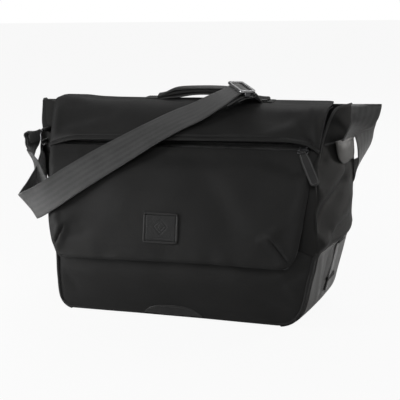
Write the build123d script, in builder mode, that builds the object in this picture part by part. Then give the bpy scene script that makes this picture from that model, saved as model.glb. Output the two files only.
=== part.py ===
"""Messenger bag, 430 mm wide, standing on its base: shell, flap, zip pocket, handle and shoulder strap.

Millimetres. +X is to the right of a person facing the front, the front faces -Y, +Z is up.
The origin is the centre of the underside.
"""

from build123d import *
import os

os.makedirs("parts", exist_ok=True)

# ---- Driving dimensions ------------------------------------------------------------------
WALL = 2.5  # thickness of a shell panel
BACK_Y = 64.0  # rear face of the back panel
FRONT_Y = -70.0  # where the front outline below is measured
FRONT_HALF = (166.0, 177.0, 184.0)  # half width of the front outline at OUTLINE_Z
BACK_HALF = (180.0, 205.0, 210.0)  # half width of the back outline at OUTLINE_Z
OUTLINE_Z = (0.0, 130.0, 290.0)
CORNER = 36.0  # radius of the bottom corners
BASE_HALF = 125.0  # the base panel ends where the gussets start
GUSSET_TOP_FRONT = (-27.0, 217.0)  # (y, z) of the gusset's top edge at the front
GUSSET_TOP_BACK = (61.0, 266.0)
PIPING = 3.5
LEATHER = 1.4
REACH = 260.0  # longer than half of anything in the bag

# Side profile of the closed flap, outer face, from its free edge up to the hinge seam: (y, z)
FLAP_OUTER = [(-81.5, 80), (-80, 98), (-75, 122), (-65, 153), (-49, 190), (-32, 212), (-14, 231.5), (6, 252),
              (27, 267), (58, 268.5)]
PLACKET_OUTER = [(-30, 226), (-20, 237), (-6, 250), (10, 262.5), (26, 270.5), (42, 272.2), (58, 272.2)]
FRONT_FOOT = [(-60, 0), (-66, 22), (-72, 55)]  # front panel below the flap's free edge
FLAP_HALF_TOP = 190.0
FLAP_HALF_FREE = 163.0
FLAP_FREE_Z = 80.0
FLAP_TOP_Z = 272.0
CLOTH = 2.0  # thickness of a flap layer
LINING_DEPTH = 5.0  # outer face of the flap lining, below the flap's outer face
BODY_DEPTH = 8.5  # outer face of the body's front panel, below the flap's outer face

# Zip, in its own plane on the flap just below the placket's lip
ZIP_Y, ZIP_Z = -23.8, 222.0
ZIP_NORMAL = (0, -0.735, 0.678)
ZIP_HALF = 172.0
ZIP_GAP = 0.8  # half the gap between the two rows of teeth
SLIDER_X = 166.0  # the slider is at rest at the closed end
PULL_HINGE = -6.2  # the ring's hinge, down the slope from the zip's centre
PULL_HEIGHT = 2.9  # the ring's middle, above the flap's face
PULL_TILT = 16.0  # degrees the leather tab hangs off the slope's fall line

# Handle, an arch on the top of the flap
HANDLE_Y = 56.0
HANDLE_WIDE = 24.0
HANDLE_ARCH = [(-60, 275), (-34, 285.5), (10, 290), (52, 288), (94, 275)]  # underside, (x, z)

# Shoulder strap webbing
STRAP_WIDE = 38.0
STRAP_THICK = 1.6
STRAP_RUN = Vector(0.852, 0.348, 0.391)  # along the straight part, up to the right
STRAP_FACE = (-0.131, -0.581, 0.803)  # out of the straight part's upper face
ADJUSTER_AT = Vector(75, 20, 289)
TOP_EDGE = ADJUSTER_AT + STRAP_RUN * 11

# Each station of a strap is its centre and the way its outer face looks
STRAP_OVER_TOP = [((96, 77, 271), (0, 1, 0.15)), ((96, 74, 284), (0.15, 0.8, 0.6)), ((94, 60, 294), (0.3, 0.25, 0.92)),
                  ((92, 42, 297.5), (0.1, -0.3, 0.93)), (tuple(TOP_EDGE + STRAP_RUN * 8), STRAP_FACE),
                  (tuple(TOP_EDGE + STRAP_RUN * 0.2), STRAP_FACE)]
STRAP_DOWN_FRONT = [(tuple(TOP_EDGE), STRAP_FACE), (tuple(ADJUSTER_AT - STRAP_RUN * 67), STRAP_FACE),
                    ((-38.6, -26.4, 236.8), (-0.1, -0.68, 0.72)), ((-101.6, -50, 201), (0, -0.9, 0.45)),
                    ((-168, -71, 159), (0, -0.94, 0.34)), ((-196, -82, 145.5), (-0.1, -0.93, 0.35))]
STRAP_RIGHT_RISE = [((203, 18, 227.5), (1, -0.15, 0)), ((209, 18, 242), (0.9, -0.45, 0)),
                    ((221, 19, 258), (0.6, -0.8, 0.1)), ((232, 22, 271), (0.1, -0.85, 0.5))]
STRAP_REAR = [((233, 27, 276), (0, -0.25, 1)), ((234, 40, 272), (0, 0.45, 0.9)), ((234, 56, 261), (0, 0.8, 0.6)),
              ((229, 69, 243), (0.1, 1, 0.2)), ((217, 76, 214), (0.2, 1, 0)), ((201, 80, 186), (0.5, 0.8, -0.2)),
              ((180, 86, 160), (0.6, 0.4, -0.7)), ((150, 90, 148), (0, 0, -1)), ((122, 87, 160), (-0.7, 0.3, -0.7)),
              ((107, 80, 188), (-0.6, 0.8, 0)), ((99, 75, 216), (-0.2, 1, 0)), ((97, 74, 236), (0, 1, 0))]
STRAP_LEFT_NEAR = [((-236, 18, 206), (-0.5, 0, 0.85)), ((-243, 12, 193), (-1, 0, 0.2)), ((-240, -4, 181), (-0.9, -0.4, 0)),
                   ((-229, -24, 173), (-0.8, -0.6, 0)), ((-217, -42, 168), (-0.7, -0.7, 0))]
STRAP_LEFT_FAR = [((-219, 2, 184), (-1, -0.2, 0)), ((-213, -18, 177), (-1, -0.3, 0)),
                  ((-205, -38, 169), (-0.9, -0.45, 0))]

# Left ring, hung from its leather tab on the gusset
RING_Y = 20.0
RING_X, RING_Z = -209.0, 231.0
RING_LONG = 46.0
RING_DROP = 16.0
WIRE = 3.0
TAB_WIDE = 36.0


# ---- Helpers -------------------------------------------------------------------------------
def shifted(points, depth):
    """Profile points moved at right angles to the profile, towards the inside of the bag."""
    moved = []
    for i, (y, z) in enumerate(points):
        y0, z0 = points[max(i - 1, 0)]
        y1, z1 = points[min(i + 1, len(points) - 1)]
        along = Vector(y1 - y0, z1 - z0, 0).normalized()
        moved.append((y + along.Y * depth, z - along.X * depth))
    return moved


def layer(points, depth, thickness, half_width=REACH):
    """Curved sheet: the profile's spline, set in by depth, thickened inwards and run across X."""
    with BuildPart() as sheet:
        with BuildSketch(Plane.YZ):
            with BuildLine():
                outer = Spline(*shifted(points, depth))
                inner = Spline(*shifted(points, depth + thickness))
                Line(outer @ 0, inner @ 0)
                Line(outer @ 1, inner @ 1)
            make_face()
        extrude(amount=half_width, both=True)
    return sheet.part


def outline(y, grow):
    """Front view of the bag at depth y, with rounded bottom corners, grown all round."""
    share = (y - FRONT_Y) / (BACK_Y - FRONT_Y)
    bottom, middle, top = [f + (b - f) * share for f, b in zip(FRONT_HALF, BACK_HALF)]
    low, mid, high = OUTLINE_Z
    with BuildSketch(Plane.XZ.offset(-y)) as face:
        with BuildLine():
            FilletPolyline((top + grow, high), (middle + grow, mid), (bottom + grow, low - grow),
                           (-bottom - grow, low - grow), (-middle - grow, mid), (-top - grow, high),
                           radius=[1.0, CORNER + grow, CORNER + grow, 1.0])
            Line((-top - grow, high), (top + grow, high))
        make_face()
    return face.sketch


def envelope(grow=0.0):
    """The whole bag's outside shape as one solid, grown or shrunk all round."""
    with BuildPart() as solid:
        loft([outline(-95, grow).face(), outline(70, grow).face()], ruled=True)
    return solid.part


def side_region(points):
    """A side view outline run across the bag, to cut pieces out of its envelope."""
    with BuildPart() as region:
        with BuildSketch(Plane.YZ):
            with BuildLine():
                Polyline(*points, close=True)
            make_face()
        extrude(amount=REACH, both=True)
    return region.part


def flap_outline(inset=0.0, low_corner=14.0):
    """Front view of the flap, a wedge with rounded lower corners, run from front to back."""
    with BuildPart() as prism:
        with BuildSketch(Plane.XZ.offset(-120)):
            with BuildLine():
                top, free = FLAP_HALF_TOP - inset, FLAP_HALF_FREE - inset
                FilletPolyline((top, 300), (top, FLAP_TOP_Z), (free, FLAP_FREE_Z + inset),
                               (-free, FLAP_FREE_Z + inset), (-top, FLAP_TOP_Z), (-top, 300),
                               radius=[1.0, low_corner, low_corner, 1.0])
                Line((-top, 300), (top, 300))
            make_face()
        extrude(amount=240)
    return prism.part


def block(x, y, z):
    """Box given by its limits along each axis."""
    with BuildPart() as box:
        with Locations(((x[0] + x[1]) / 2, (y[0] + y[1]) / 2, (z[0] + z[1]) / 2)):
            Box(x[1] - x[0], y[1] - y[0], z[1] - z[0])
    return box.part


def webbing(stations, wide=STRAP_WIDE, thick=STRAP_THICK, lift=0.0):
    """Flat strap through its stations, turning its face as they say."""
    centres = [Vector(*centre) for centre, _ in stations]
    with BuildPart() as strap:
        for i, (_, face) in enumerate(stations):
            run = (centres[min(i + 1, len(centres) - 1)] - centres[max(i - 1, 0)]).normalized()
            across = run.cross(Vector(*face)).normalized()
            out = across.cross(run)
            with BuildSketch(Plane(origin=centres[i] + out * lift, x_dir=across, z_dir=run)):
                Rectangle(wide, thick)
        loft(ruled=True)
    return strap.part


def save(piece, name):
    piece.label = name
    export_step(piece, f"parts/{name}.step")


def mirrored_pair(piece, name):
    """Write a right-hand piece and its mirror image on the left."""
    save(piece, f"right_{name}")
    save(mirror(piece, about=Plane.YZ), f"left_{name}")


# ---- Shell: front, back, base and gussets ------------------------------------------------------
FLAP_LOWER = FLAP_OUTER[:7]
FRONT_OUTER = FRONT_FOOT + shifted(FLAP_OUTER, BODY_DEPTH)[1:6]
outside = envelope()
inside = envelope(-WALL)

with BuildPart() as front_panel:
    add(layer(FRONT_OUTER, 0, WALL))
    add(outside, mode=Mode.INTERSECT)
save(front_panel.part, "front_panel")

with BuildPart() as back_panel:
    add(block((-REACH, REACH), (BACK_Y - 3, BACK_Y), (0, 265)))
    add(outside, mode=Mode.INTERSECT)
save(back_panel.part, "back_panel")

front_inner = shifted(FRONT_OUTER, WALL + 0.05)
BOXING_SIDE = [(-57, -5)] + front_inner + [GUSSET_TOP_FRONT, GUSSET_TOP_BACK, (BACK_Y - 3, -5)]
boxing_cut = side_region(BOXING_SIDE)

with BuildPart() as base_panel:
    add(block((-BASE_HALF, BASE_HALF), (-100, 100), (0, WALL)))
    add(boxing_cut, mode=Mode.INTERSECT)
save(base_panel.part, "base_panel")

with BuildPart() as right_gusset:
    add(outside)
    add(inside, mode=Mode.SUBTRACT)
    add(boxing_cut, mode=Mode.INTERSECT)
    add(block((BASE_HALF, REACH), (-100, 100), (-1, 280)), mode=Mode.INTERSECT)
mirrored_pair(right_gusset.part, "gusset")

# ---- Trims sewn on the shell -------------------------------------------------------------------
with BuildPart() as front_piping:
    add(outside)
    add(envelope(-PIPING), mode=Mode.SUBTRACT)
    add(layer(FRONT_OUTER, -PIPING, PIPING), mode=Mode.INTERSECT)
    add(block((-REACH, REACH), (-100, 0), (0.4, 97)), mode=Mode.INTERSECT)
save(front_piping.part, "front_piping")

with BuildPart() as rear_piping:
    add(outside)
    add(envelope(-PIPING), mode=Mode.SUBTRACT)
    add(block((-REACH, REACH), (BACK_Y, BACK_Y + PIPING), (0.4, 262)), mode=Mode.INTERSECT)
save(rear_piping.part, "rear_piping")

with BuildPart() as right_gusset_leather:
    add(envelope(LEATHER))
    add(outside, mode=Mode.SUBTRACT)
    add(side_region([(-58, 7), (-64, 40), (-62, 98), (54, 98), (54, 7)]), mode=Mode.INTERSECT)
    add(block((BASE_HALF, REACH), (-100, 100), (7, 98)), mode=Mode.INTERSECT)
mirrored_pair(right_gusset_leather.part, "gusset_leather")

with BuildPart() as right_side_strip:
    add(envelope(LEATHER + 1.6))
    add(envelope(LEATHER), mode=Mode.SUBTRACT)
    add(side_region([(12, 30), (12, 104), (37, 104), (37, 30)]), mode=Mode.INTERSECT)
    add(block((BASE_HALF, REACH), (-100, 100), (30, 104)), mode=Mode.INTERSECT)
mirrored_pair(right_side_strip.part, "side_strip")

EDGE_SLOPE = (GUSSET_TOP_BACK[1] - GUSSET_TOP_FRONT[1]) / (GUSSET_TOP_BACK[0] - GUSSET_TOP_FRONT[0])
with BuildPart() as right_gusset_binding:
    add(envelope(1.0))
    add(outside, mode=Mode.SUBTRACT)
    add(side_region([(-15, 223.7), (60, 223.7 + 75 * EDGE_SLOPE), (60, 213.7 + 75 * EDGE_SLOPE), (-15, 213.7)]),
        mode=Mode.INTERSECT)
    add(block((BASE_HALF, REACH), (-100, 100), (100, 280)), mode=Mode.INTERSECT)
mirrored_pair(right_gusset_binding.part, "gusset_binding")

with BuildPart() as mouth_binding:
    add(layer(FRONT_OUTER, -0.8, 0.8, 170))
    add(block((-170, 170), (-100, 0), (196, 230)), mode=Mode.INTERSECT)
save(mouth_binding.part, "mouth_binding")

with BuildPart() as front_base_patch:
    with BuildSketch(Plane.XZ.offset(40)):
        with BuildLine():
            ThreePointArc((-40, 5), (-2, 17), (36, 5))
            Line((36, 5), (-40, 5))
        make_face()
    extrude(amount=40)
    add(layer(FRONT_OUTER, -LEATHER, LEATHER), mode=Mode.INTERSECT)
save(front_base_patch.part, "front_base_patch")

with BuildPart() as right_anchor_tab:
    with BuildSketch(Plane.YZ.offset(BASE_HALF)):
        with Locations((18, 214)):
            RectangleRounded(46, 24, 11)
        with Locations((18, 220)):
            Rectangle(46, 12)
    extrude(amount=REACH - BASE_HALF)
    add(envelope(4.6), mode=Mode.INTERSECT)
    add(envelope(1.0), mode=Mode.SUBTRACT)
save(right_anchor_tab.part, "right_anchor_tab")

# ---- Inside the bag ------------------------------------------------------------------------------
with BuildPart() as base_board:
    add(block((-128, 128), (-48, 42), (WALL + 0.2, WALL + 2.2)))
save(base_board.part, "base_board")

with BuildPart() as laptop_divider:
    with BuildSketch(Plane.XZ.offset(-48)):
        with BuildLine():
            FilletPolyline((165, 222), (152, 6), (-152, 6), (-165, 222), radius=18)
            Line((-165, 222), (165, 222))
        make_face()
    extrude(amount=4)
save(laptop_divider.part, "laptop_divider")

with BuildPart() as inner_pocket:
    with BuildSketch(Plane.XZ.offset(-44)):
        with Locations((0, 105)):
            RectangleRounded(230, 130, 8)
    extrude(amount=1.5)
save(inner_pocket.part, "inner_pocket")

MAGNET_SPOTS = [(-125, 0), (125, 0)]
magnet_plane = Plane(origin=(0, -79.6, 101), x_dir=(1, 0, 0), z_dir=(0, -0.985, 0.17))
with BuildPart() as flap_magnets:
    with BuildSketch(magnet_plane.offset(-4.75)):
        with Locations(*MAGNET_SPOTS):
            Circle(9)
    extrude(amount=2.2)
save(flap_magnets.part, "flap_magnets")

with BuildPart() as body_magnets:
    with BuildSketch(magnet_plane.offset(-14.2)):
        with Locations(*MAGNET_SPOTS):
            Circle(9)
    extrude(amount=2.2)
save(body_magnets.part, "body_magnets")

# ---- Flap -----------------------------------------------------------------------------------------
with BuildPart() as flap_front_panel:
    add(layer(FLAP_LOWER, 0, CLOTH))
    add(flap_outline(), mode=Mode.INTERSECT)
    add(block((-REACH, REACH), (-100, 0), (70, ZIP_Z - 5.6)), mode=Mode.INTERSECT)
save(flap_front_panel.part, "flap_front_panel")

with BuildPart() as flap_placket:
    add(layer(PLACKET_OUTER, 0, CLOTH))
    add(flap_outline(), mode=Mode.INTERSECT)
save(flap_placket.part, "flap_placket")

with BuildPart() as flap_lining:
    add(layer(FLAP_OUTER, LINING_DEPTH, CLOTH))
    add(flap_outline(inset=2.0, low_corner=12.0), mode=Mode.INTERSECT)
save(flap_lining.part, "flap_lining")

patch_plane = Plane(origin=(-10, -76.0, 123), x_dir=(1, 0, 0), z_dir=(0, -0.965, 0.263))
with BuildPart() as leather_patch:
    with BuildSketch(patch_plane):
        RectangleRounded(46, 37, 2)
    extrude(amount=LEATHER)
save(leather_patch.part, "leather_patch")

# ---- Zip: tapes, teeth, stops, slider and pull --------------------------------------------------------
zip_plane = Plane(origin=(0, ZIP_Y, ZIP_Z), x_dir=(1, 0, 0), z_dir=ZIP_NORMAL)
slider_plane = Plane(origin=(SLIDER_X, ZIP_Y, ZIP_Z), x_dir=(1, 0, 0), z_dir=ZIP_NORMAL)

with BuildPart() as zip_tapes:
    with BuildSketch(zip_plane.offset(-3.2)):
        with Locations((0, -4.4), (0, 4.4)):
            Rectangle(2 * ZIP_HALF + 10, 7.2)
    extrude(amount=0.5)
save(zip_tapes.part, "zip_tapes")

with BuildPart() as zip_teeth:
    with BuildSketch(zip_plane.offset(-2.7)):
        with Locations((0, -ZIP_GAP - 1.1), (0, ZIP_GAP + 1.1)):
            Rectangle(2 * ZIP_HALF, 2.2)
    extrude(amount=1.6)
save(zip_teeth.part, "zip_teeth")

with BuildPart() as zip_stops:
    with BuildSketch(zip_plane.offset(-2.7)):
        with Locations((-ZIP_HALF - 2, 0), (ZIP_HALF + 2, 0)):
            Rectangle(3, 6)
    extrude(amount=2.3)
save(zip_stops.part, "zip_stops")

with BuildPart() as zip_slider_body:
    with BuildSketch(slider_plane.offset(-4.2)):
        RectangleRounded(10, 8.4, 2)
    extrude(amount=0.9)
    with BuildSketch(slider_plane.offset(-0.8)):
        RectangleRounded(10, 8.4, 2)
    extrude(amount=1.1)
    with BuildSketch(slider_plane.offset(-3.5)):
        Rectangle(3, 2 * ZIP_GAP - 0.5)
    extrude(amount=3)
    with BuildSketch(slider_plane.offset(0.3)):
        with Locations((-4.1, PULL_HINGE + 1.3), (4.1, PULL_HINGE + 1.3)):
            Rectangle(1.8, 7.4)
    extrude(amount=4.8)
    with Locations(slider_plane * Location((0, PULL_HINGE, PULL_HEIGHT), (0, 90, 0))):
        Cylinder(1.5, 20, mode=Mode.SUBTRACT)
save(zip_slider_body.part, "zip_slider_body")

ring_plane = slider_plane.offset(PULL_HEIGHT)
with BuildPart() as zip_pull_ring:
    with BuildSketch(ring_plane.offset(-0.9)):
        with Locations((0, PULL_HINGE - 3.9)):
            RectangleRounded(17, 9.6, 1.5)
            RectangleRounded(13.4, 6.0, 0.8, mode=Mode.SUBTRACT)
    extrude(amount=1.8)
save(zip_pull_ring.part, "zip_pull_ring")

PULL_TOP = PULL_HINGE - 7.8  # the ring's lower bar, which the tab hangs from
bar_at = ring_plane.from_local_coords(Vector(0, PULL_TOP, 0))
bar_plane = Plane(origin=bar_at, x_dir=ring_plane.x_dir, z_dir=ring_plane.z_dir)
tab_plane = bar_plane.rotated((0, 0, PULL_TILT))
with BuildPart() as zip_pull_tab:
    with BuildSketch(tab_plane.offset(-1.1)):
        with Locations((0, -24)):
            RectangleRounded(10, 40, 4.9)
        with Locations((0, -8)):
            Rectangle(9, 8)
    extrude(amount=2.2)
    with BuildSketch(Plane(origin=bar_at, x_dir=bar_plane.y_dir, z_dir=bar_plane.x_dir).offset(-4)):
        with Locations((-2.2, 0)):
            RectangleRounded(9.6, 5.2, 2.5)
        Circle(1.6, mode=Mode.SUBTRACT)
    extrude(amount=8)
save(zip_pull_tab.part, "zip_pull_tab")

# ---- Handle ----------------------------------------------------------------------------------------------
HANDLE_ROLL = 1.6  # radius of the rolled end the handle tilts on
HANDLE_LAYERS = {"handle_lower_leather": (0.0, 1.4), "handle_core": (1.45, 1.5), "handle_upper_leather": (3.0, 1.4)}
for name, (rise, thickness) in HANDLE_LAYERS.items():
    with BuildPart() as handle_layer:
        with BuildSketch(Plane.XZ.offset(-HANDLE_Y)):
            with BuildLine():
                under = Spline(*[(x, z + rise) for x, z in HANDLE_ARCH])
                over = Spline(*[(x, z + rise + thickness) for x, z in HANDLE_ARCH])
                Line(under @ 0, over @ 0)
                Line(under @ 1, over @ 1)
            make_face()
        extrude(amount=HANDLE_WIDE / 2, both=True)
        if rise == 0.0:
            with Locations((-57, HANDLE_Y, 275), (91, HANDLE_Y, 275)):
                Cylinder(HANDLE_ROLL, 6, rotation=(0, 90, 0))
    save(handle_layer.part, name)

with BuildPart() as handle_tabs:
    for x in (-62, 98):
        with BuildSketch(Plane.XY.offset(272.3)):
            with Locations((x, 52)):
                RectangleRounded(20, 11, 2)
        extrude(amount=1.0)
save(handle_tabs.part, "handle_tabs")

# ---- Shoulder strap ------------------------------------------------------------------------------------------
save(webbing(STRAP_OVER_TOP), "strap_over_top")
save(webbing(STRAP_DOWN_FRONT), "strap_front_outer")
save(webbing(STRAP_DOWN_FRONT[3:], lift=-2.2), "strap_front_inner")
save(webbing(STRAP_RIGHT_RISE), "strap_right_rise")
save(webbing(STRAP_REAR), "strap_rear")
save(webbing(STRAP_LEFT_NEAR), "strap_left_near")
save(webbing(STRAP_LEFT_FAR), "strap_left_far")

adjuster_plane = Plane(origin=ADJUSTER_AT, x_dir=STRAP_RUN, z_dir=STRAP_FACE)
RAIL_IN, RAIL_OUT = 20.6, 23.6
with BuildPart() as adjuster_frame:
    with BuildSketch(adjuster_plane.offset(1.3)):
        RectangleRounded(21, 2 * RAIL_OUT, 3)
        Rectangle(13.5, 2 * RAIL_IN, mode=Mode.SUBTRACT)
    extrude(amount=2.2)
    with BuildSketch(adjuster_plane.offset(-5.2)):
        with Locations((0, -(RAIL_IN + RAIL_OUT) / 2), (0, (RAIL_IN + RAIL_OUT) / 2)):
            Rectangle(8, RAIL_OUT - RAIL_IN)
    extrude(amount=6.6)
save(adjuster_frame.part, "adjuster_frame")

with BuildPart() as adjuster_bar:
    with BuildSketch(adjuster_plane.offset(-4.9)):
        Rectangle(3.4, 2 * RAIL_IN)
    extrude(amount=2.0)
save(adjuster_bar.part, "adjuster_bar")

with BuildPart() as strap_loop_end:
    with BuildSketch(adjuster_plane.offset(-6.2)):
        with Locations((-1, 0)):
            Rectangle(9, STRAP_WIDE)
    extrude(amount=4.8)
    with BuildSketch(adjuster_plane.offset(-5.1)):
        Rectangle(3.8, STRAP_WIDE)
    extrude(amount=2.4, mode=Mode.SUBTRACT)
    with BuildSketch(adjuster_plane.offset(-4.4)):
        with Locations((-15.5, 0)):
            Rectangle(20.2, STRAP_WIDE)
    extrude(amount=3.0)
save(strap_loop_end.part, "strap_loop_end")

# ---- Left ring, its tab and the strap's bight round it ---------------------------------------------
ring_axis_plane = Plane.XZ.offset(-RING_Y)
with BuildPart() as left_anchor_tab:
    with BuildSketch(Plane.YZ.offset(-REACH)):
        with Locations((RING_Y, 212)):
            RectangleRounded(TAB_WIDE, 24, 10)
        with Locations((RING_Y, 222)):
            Rectangle(TAB_WIDE, 14)
    extrude(amount=REACH - BASE_HALF)
    add(envelope(2.6), mode=Mode.INTERSECT)
    with BuildSketch(ring_axis_plane):
        with Locations((RING_X, RING_Z)):
            Circle(3.7)
        with Locations((RING_X + 6, RING_Z - 3.7)):
            Rectangle(14, 3.6)
        with Locations((RING_X, RING_Z)):
            Circle(WIRE / 2 + 0.3, mode=Mode.SUBTRACT)
    extrude(amount=TAB_WIDE / 2 - 1, both=True)
    add(envelope(1.1), mode=Mode.SUBTRACT)
save(left_anchor_tab.part, "left_anchor_tab")

with BuildPart() as left_ring:
    with BuildLine():
        ring_path = FilletPolyline((RING_X, RING_Y - RING_LONG / 2, RING_Z), (RING_X, RING_Y + RING_LONG / 2, RING_Z),
                                   (RING_X, RING_Y + RING_LONG / 2, RING_Z - RING_DROP),
                                   (RING_X, RING_Y - RING_LONG / 2, RING_Z - RING_DROP), radius=4, close=True)
    with BuildSketch(Plane(origin=ring_path @ 0, z_dir=ring_path % 0)):
        Circle(WIRE / 2)
    sweep(path=ring_path)
save(left_ring.part, "left_ring")

with BuildPart() as strap_ring_loop:
    with BuildSketch(ring_axis_plane):
        with Locations((RING_X, RING_Z - RING_DROP)):
            Circle(3.6)
        with Locations(Location((RING_X - 3.5, RING_Z - RING_DROP - 4.2, 0), (0, 0, 50))):
            Rectangle(9, 4)
        with Locations((RING_X, RING_Z - RING_DROP)):
            Circle(WIRE / 2 + 0.3, mode=Mode.SUBTRACT)
    extrude(amount=STRAP_WIDE / 2, both=True)
save(strap_ring_loop.part, "strap_ring_loop")
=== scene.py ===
"""Black nylon messenger bag: the visible pieces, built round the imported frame.

Lengths are in mm until a mesh is made, and x runs left to right, y front to back, z up.
"""

import math

import bpy
import numpy as np
from mathutils import Matrix, Vector


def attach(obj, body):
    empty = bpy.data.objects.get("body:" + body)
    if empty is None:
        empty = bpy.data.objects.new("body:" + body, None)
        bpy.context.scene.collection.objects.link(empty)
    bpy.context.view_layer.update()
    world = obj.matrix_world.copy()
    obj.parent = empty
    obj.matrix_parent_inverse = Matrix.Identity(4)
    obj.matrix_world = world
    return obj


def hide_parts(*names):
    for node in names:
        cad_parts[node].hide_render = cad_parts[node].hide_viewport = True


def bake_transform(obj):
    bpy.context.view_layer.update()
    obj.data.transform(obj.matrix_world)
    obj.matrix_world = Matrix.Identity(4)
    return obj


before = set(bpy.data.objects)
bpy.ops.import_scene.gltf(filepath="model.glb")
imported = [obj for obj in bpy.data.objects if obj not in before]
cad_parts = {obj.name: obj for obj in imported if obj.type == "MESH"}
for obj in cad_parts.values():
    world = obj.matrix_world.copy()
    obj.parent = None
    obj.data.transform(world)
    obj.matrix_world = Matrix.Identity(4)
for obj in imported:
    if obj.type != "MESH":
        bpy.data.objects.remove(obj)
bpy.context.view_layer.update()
MM = 0.001


# ---- Curves and small maths ----------------------------------------------------------------------
def unit(v):
    """Vectors scaled to length 1."""
    v = np.asarray(v, float)
    return v / np.maximum(np.linalg.norm(v, axis=-1, keepdims=True), 1e-9)


def step(a, b, x):
    """Rises smoothly from 0 at a to 1 at b."""
    t = np.clip((np.asarray(x, float) - a) / (b - a), 0, 1)
    return t * t * (3 - 2 * t)


def bell(x, width):
    """A smooth bump, 1 at x = 0."""
    return np.exp(-((np.asarray(x, float) / width) ** 2))


def catmull(points, per=14):
    """Points along a smooth curve that passes through the given ones."""
    p = np.asarray(points, float)
    p = np.vstack([2 * p[0] - p[1], p, 2 * p[-1] - p[-2]])
    t = np.linspace(0, 1, per, endpoint=False)[:, None]
    out = []
    for a, b, c, d in zip(p[:-3], p[1:-2], p[2:-1], p[3:]):
        square = 2 * a - 5 * b + 4 * c - d
        cube = 3 * b - a - 3 * c + d
        out.append(0.5 * (2 * b + (c - a) * t + square * t**2 + cube * t**3))
    return np.vstack(out + [p[-2:-1]])


def lengths(p):
    """The length along a line of points, at each of them."""
    return np.concatenate([[0], np.cumsum(np.linalg.norm(np.diff(p, axis=0), axis=1))])


def even(points, count):
    """The same smooth curve, at evenly spaced points."""
    p = catmull(points)
    s = lengths(p)
    at = np.linspace(0, s[-1], count)
    return np.stack([np.interp(at, s, p[:, k]) for k in range(p.shape[1])], 1)


def smooth_table(pairs):
    """A smooth function through (input, output) pairs."""
    p = catmull(sorted(pairs), 24)
    return lambda x: np.interp(x, p[:, 0], p[:, 1])


def waves(seed, count, low, high):
    """Seeded soft unevenness of height about 1, made of waves low to high mm long."""
    r = np.random.default_rng(seed)
    angle = r.uniform(0, math.pi, count)
    k = 2 * math.pi / r.uniform(low, high, count)
    phase = r.uniform(0, 2 * math.pi, count)

    def value(x, y):
        total = 0
        for a, f, q in zip(angle, k, phase):
            total = total + np.sin(f * (x * math.cos(a) + y * math.sin(a)) + q)
        return total / math.sqrt(count)

    return value


def folds(x, y, lines):
    """Soft creases: each is (start, end, width, height), a ridge that fades out at its two ends."""
    total = np.zeros(np.broadcast(x, y).shape)
    for (ax, ay), (bx, by), width, height in lines:
        dx, dy = bx - ax, by - ay
        size = math.hypot(dx, dy)
        along = ((x - ax) * dx + (y - ay) * dy) / size
        off = ((x - ax) * -dy + (y - ay) * dx) / size
        past = np.maximum(0, np.maximum(-along, along - size))
        total += height * bell(off, width) * bell(past, width * 1.6)
    return total


# ---- Meshes --------------------------------------------------------------------------------------
def add_object(name, verts, faces, material, cloth=None, smooth=True):
    """A mesh object from points in mm. cloth holds each point's place across and along its cloth."""
    mesh = bpy.data.meshes.new(name)
    points = np.asarray(verts, float).reshape(-1, 3) * MM
    mesh.from_pydata(points.tolist(), [], [tuple(map(int, f)) for f in faces])
    mesh.polygons.foreach_set("use_smooth", [smooth] * len(mesh.polygons))
    if cloth is not None:
        layer = mesh.attributes.new("cloth", "FLOAT_VECTOR", "POINT")
        coords = np.asarray(cloth, float).reshape(-1, 3) * MM
        layer.data.foreach_set("vector", coords.astype(np.float32).ravel())
    mesh.materials.append(material)
    obj = bpy.data.objects.new(name, mesh)
    bpy.context.scene.collection.objects.link(obj)
    return obj


def grid_faces(n, m, start=0, wrap=False, flip=False):
    """The quads of n rows by m columns of points, joined round when wrap is set."""
    i, j = np.meshgrid(np.arange(n - 1), np.arange(m if wrap else m - 1), indexing="ij")
    a = start + i * m + j
    b = start + i * m + (j + 1) % m
    quads = np.stack([a, b, b + m, a + m], -1).reshape(-1, 4)
    return quads[:, ::-1] if flip else quads


def grid_normals(p):
    """A unit normal at each point of a grid."""
    du = np.gradient(p, axis=1)
    dv = np.gradient(p, axis=0)
    return unit(np.cross(du, dv))


def cloth_coords(p):
    """Each grid point's length across and down the cloth."""
    runs = np.linalg.norm(np.diff(p, axis=1), axis=2)
    drops = np.linalg.norm(np.diff(p, axis=0), axis=2)
    across = np.concatenate([np.zeros((p.shape[0], 1)), np.cumsum(runs, 1)], 1)
    across = across - across.mean(1, keepdims=True)
    down = np.concatenate([np.zeros((1, p.shape[1])), np.cumsum(drops, 0)], 0)
    return np.stack([across, down, np.zeros_like(across)], -1)


def rim_loop(n, m):
    """The (row, column) of each point round a grid's rim."""
    top = [(0, j) for j in range(m)]
    right = [(i, m - 1) for i in range(1, n)]
    bottom = [(n - 1, j) for j in range(m - 2, -1, -1)]
    left = [(i, 0) for i in range(n - 2, 0, -1)]
    return top + right + bottom + left


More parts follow.
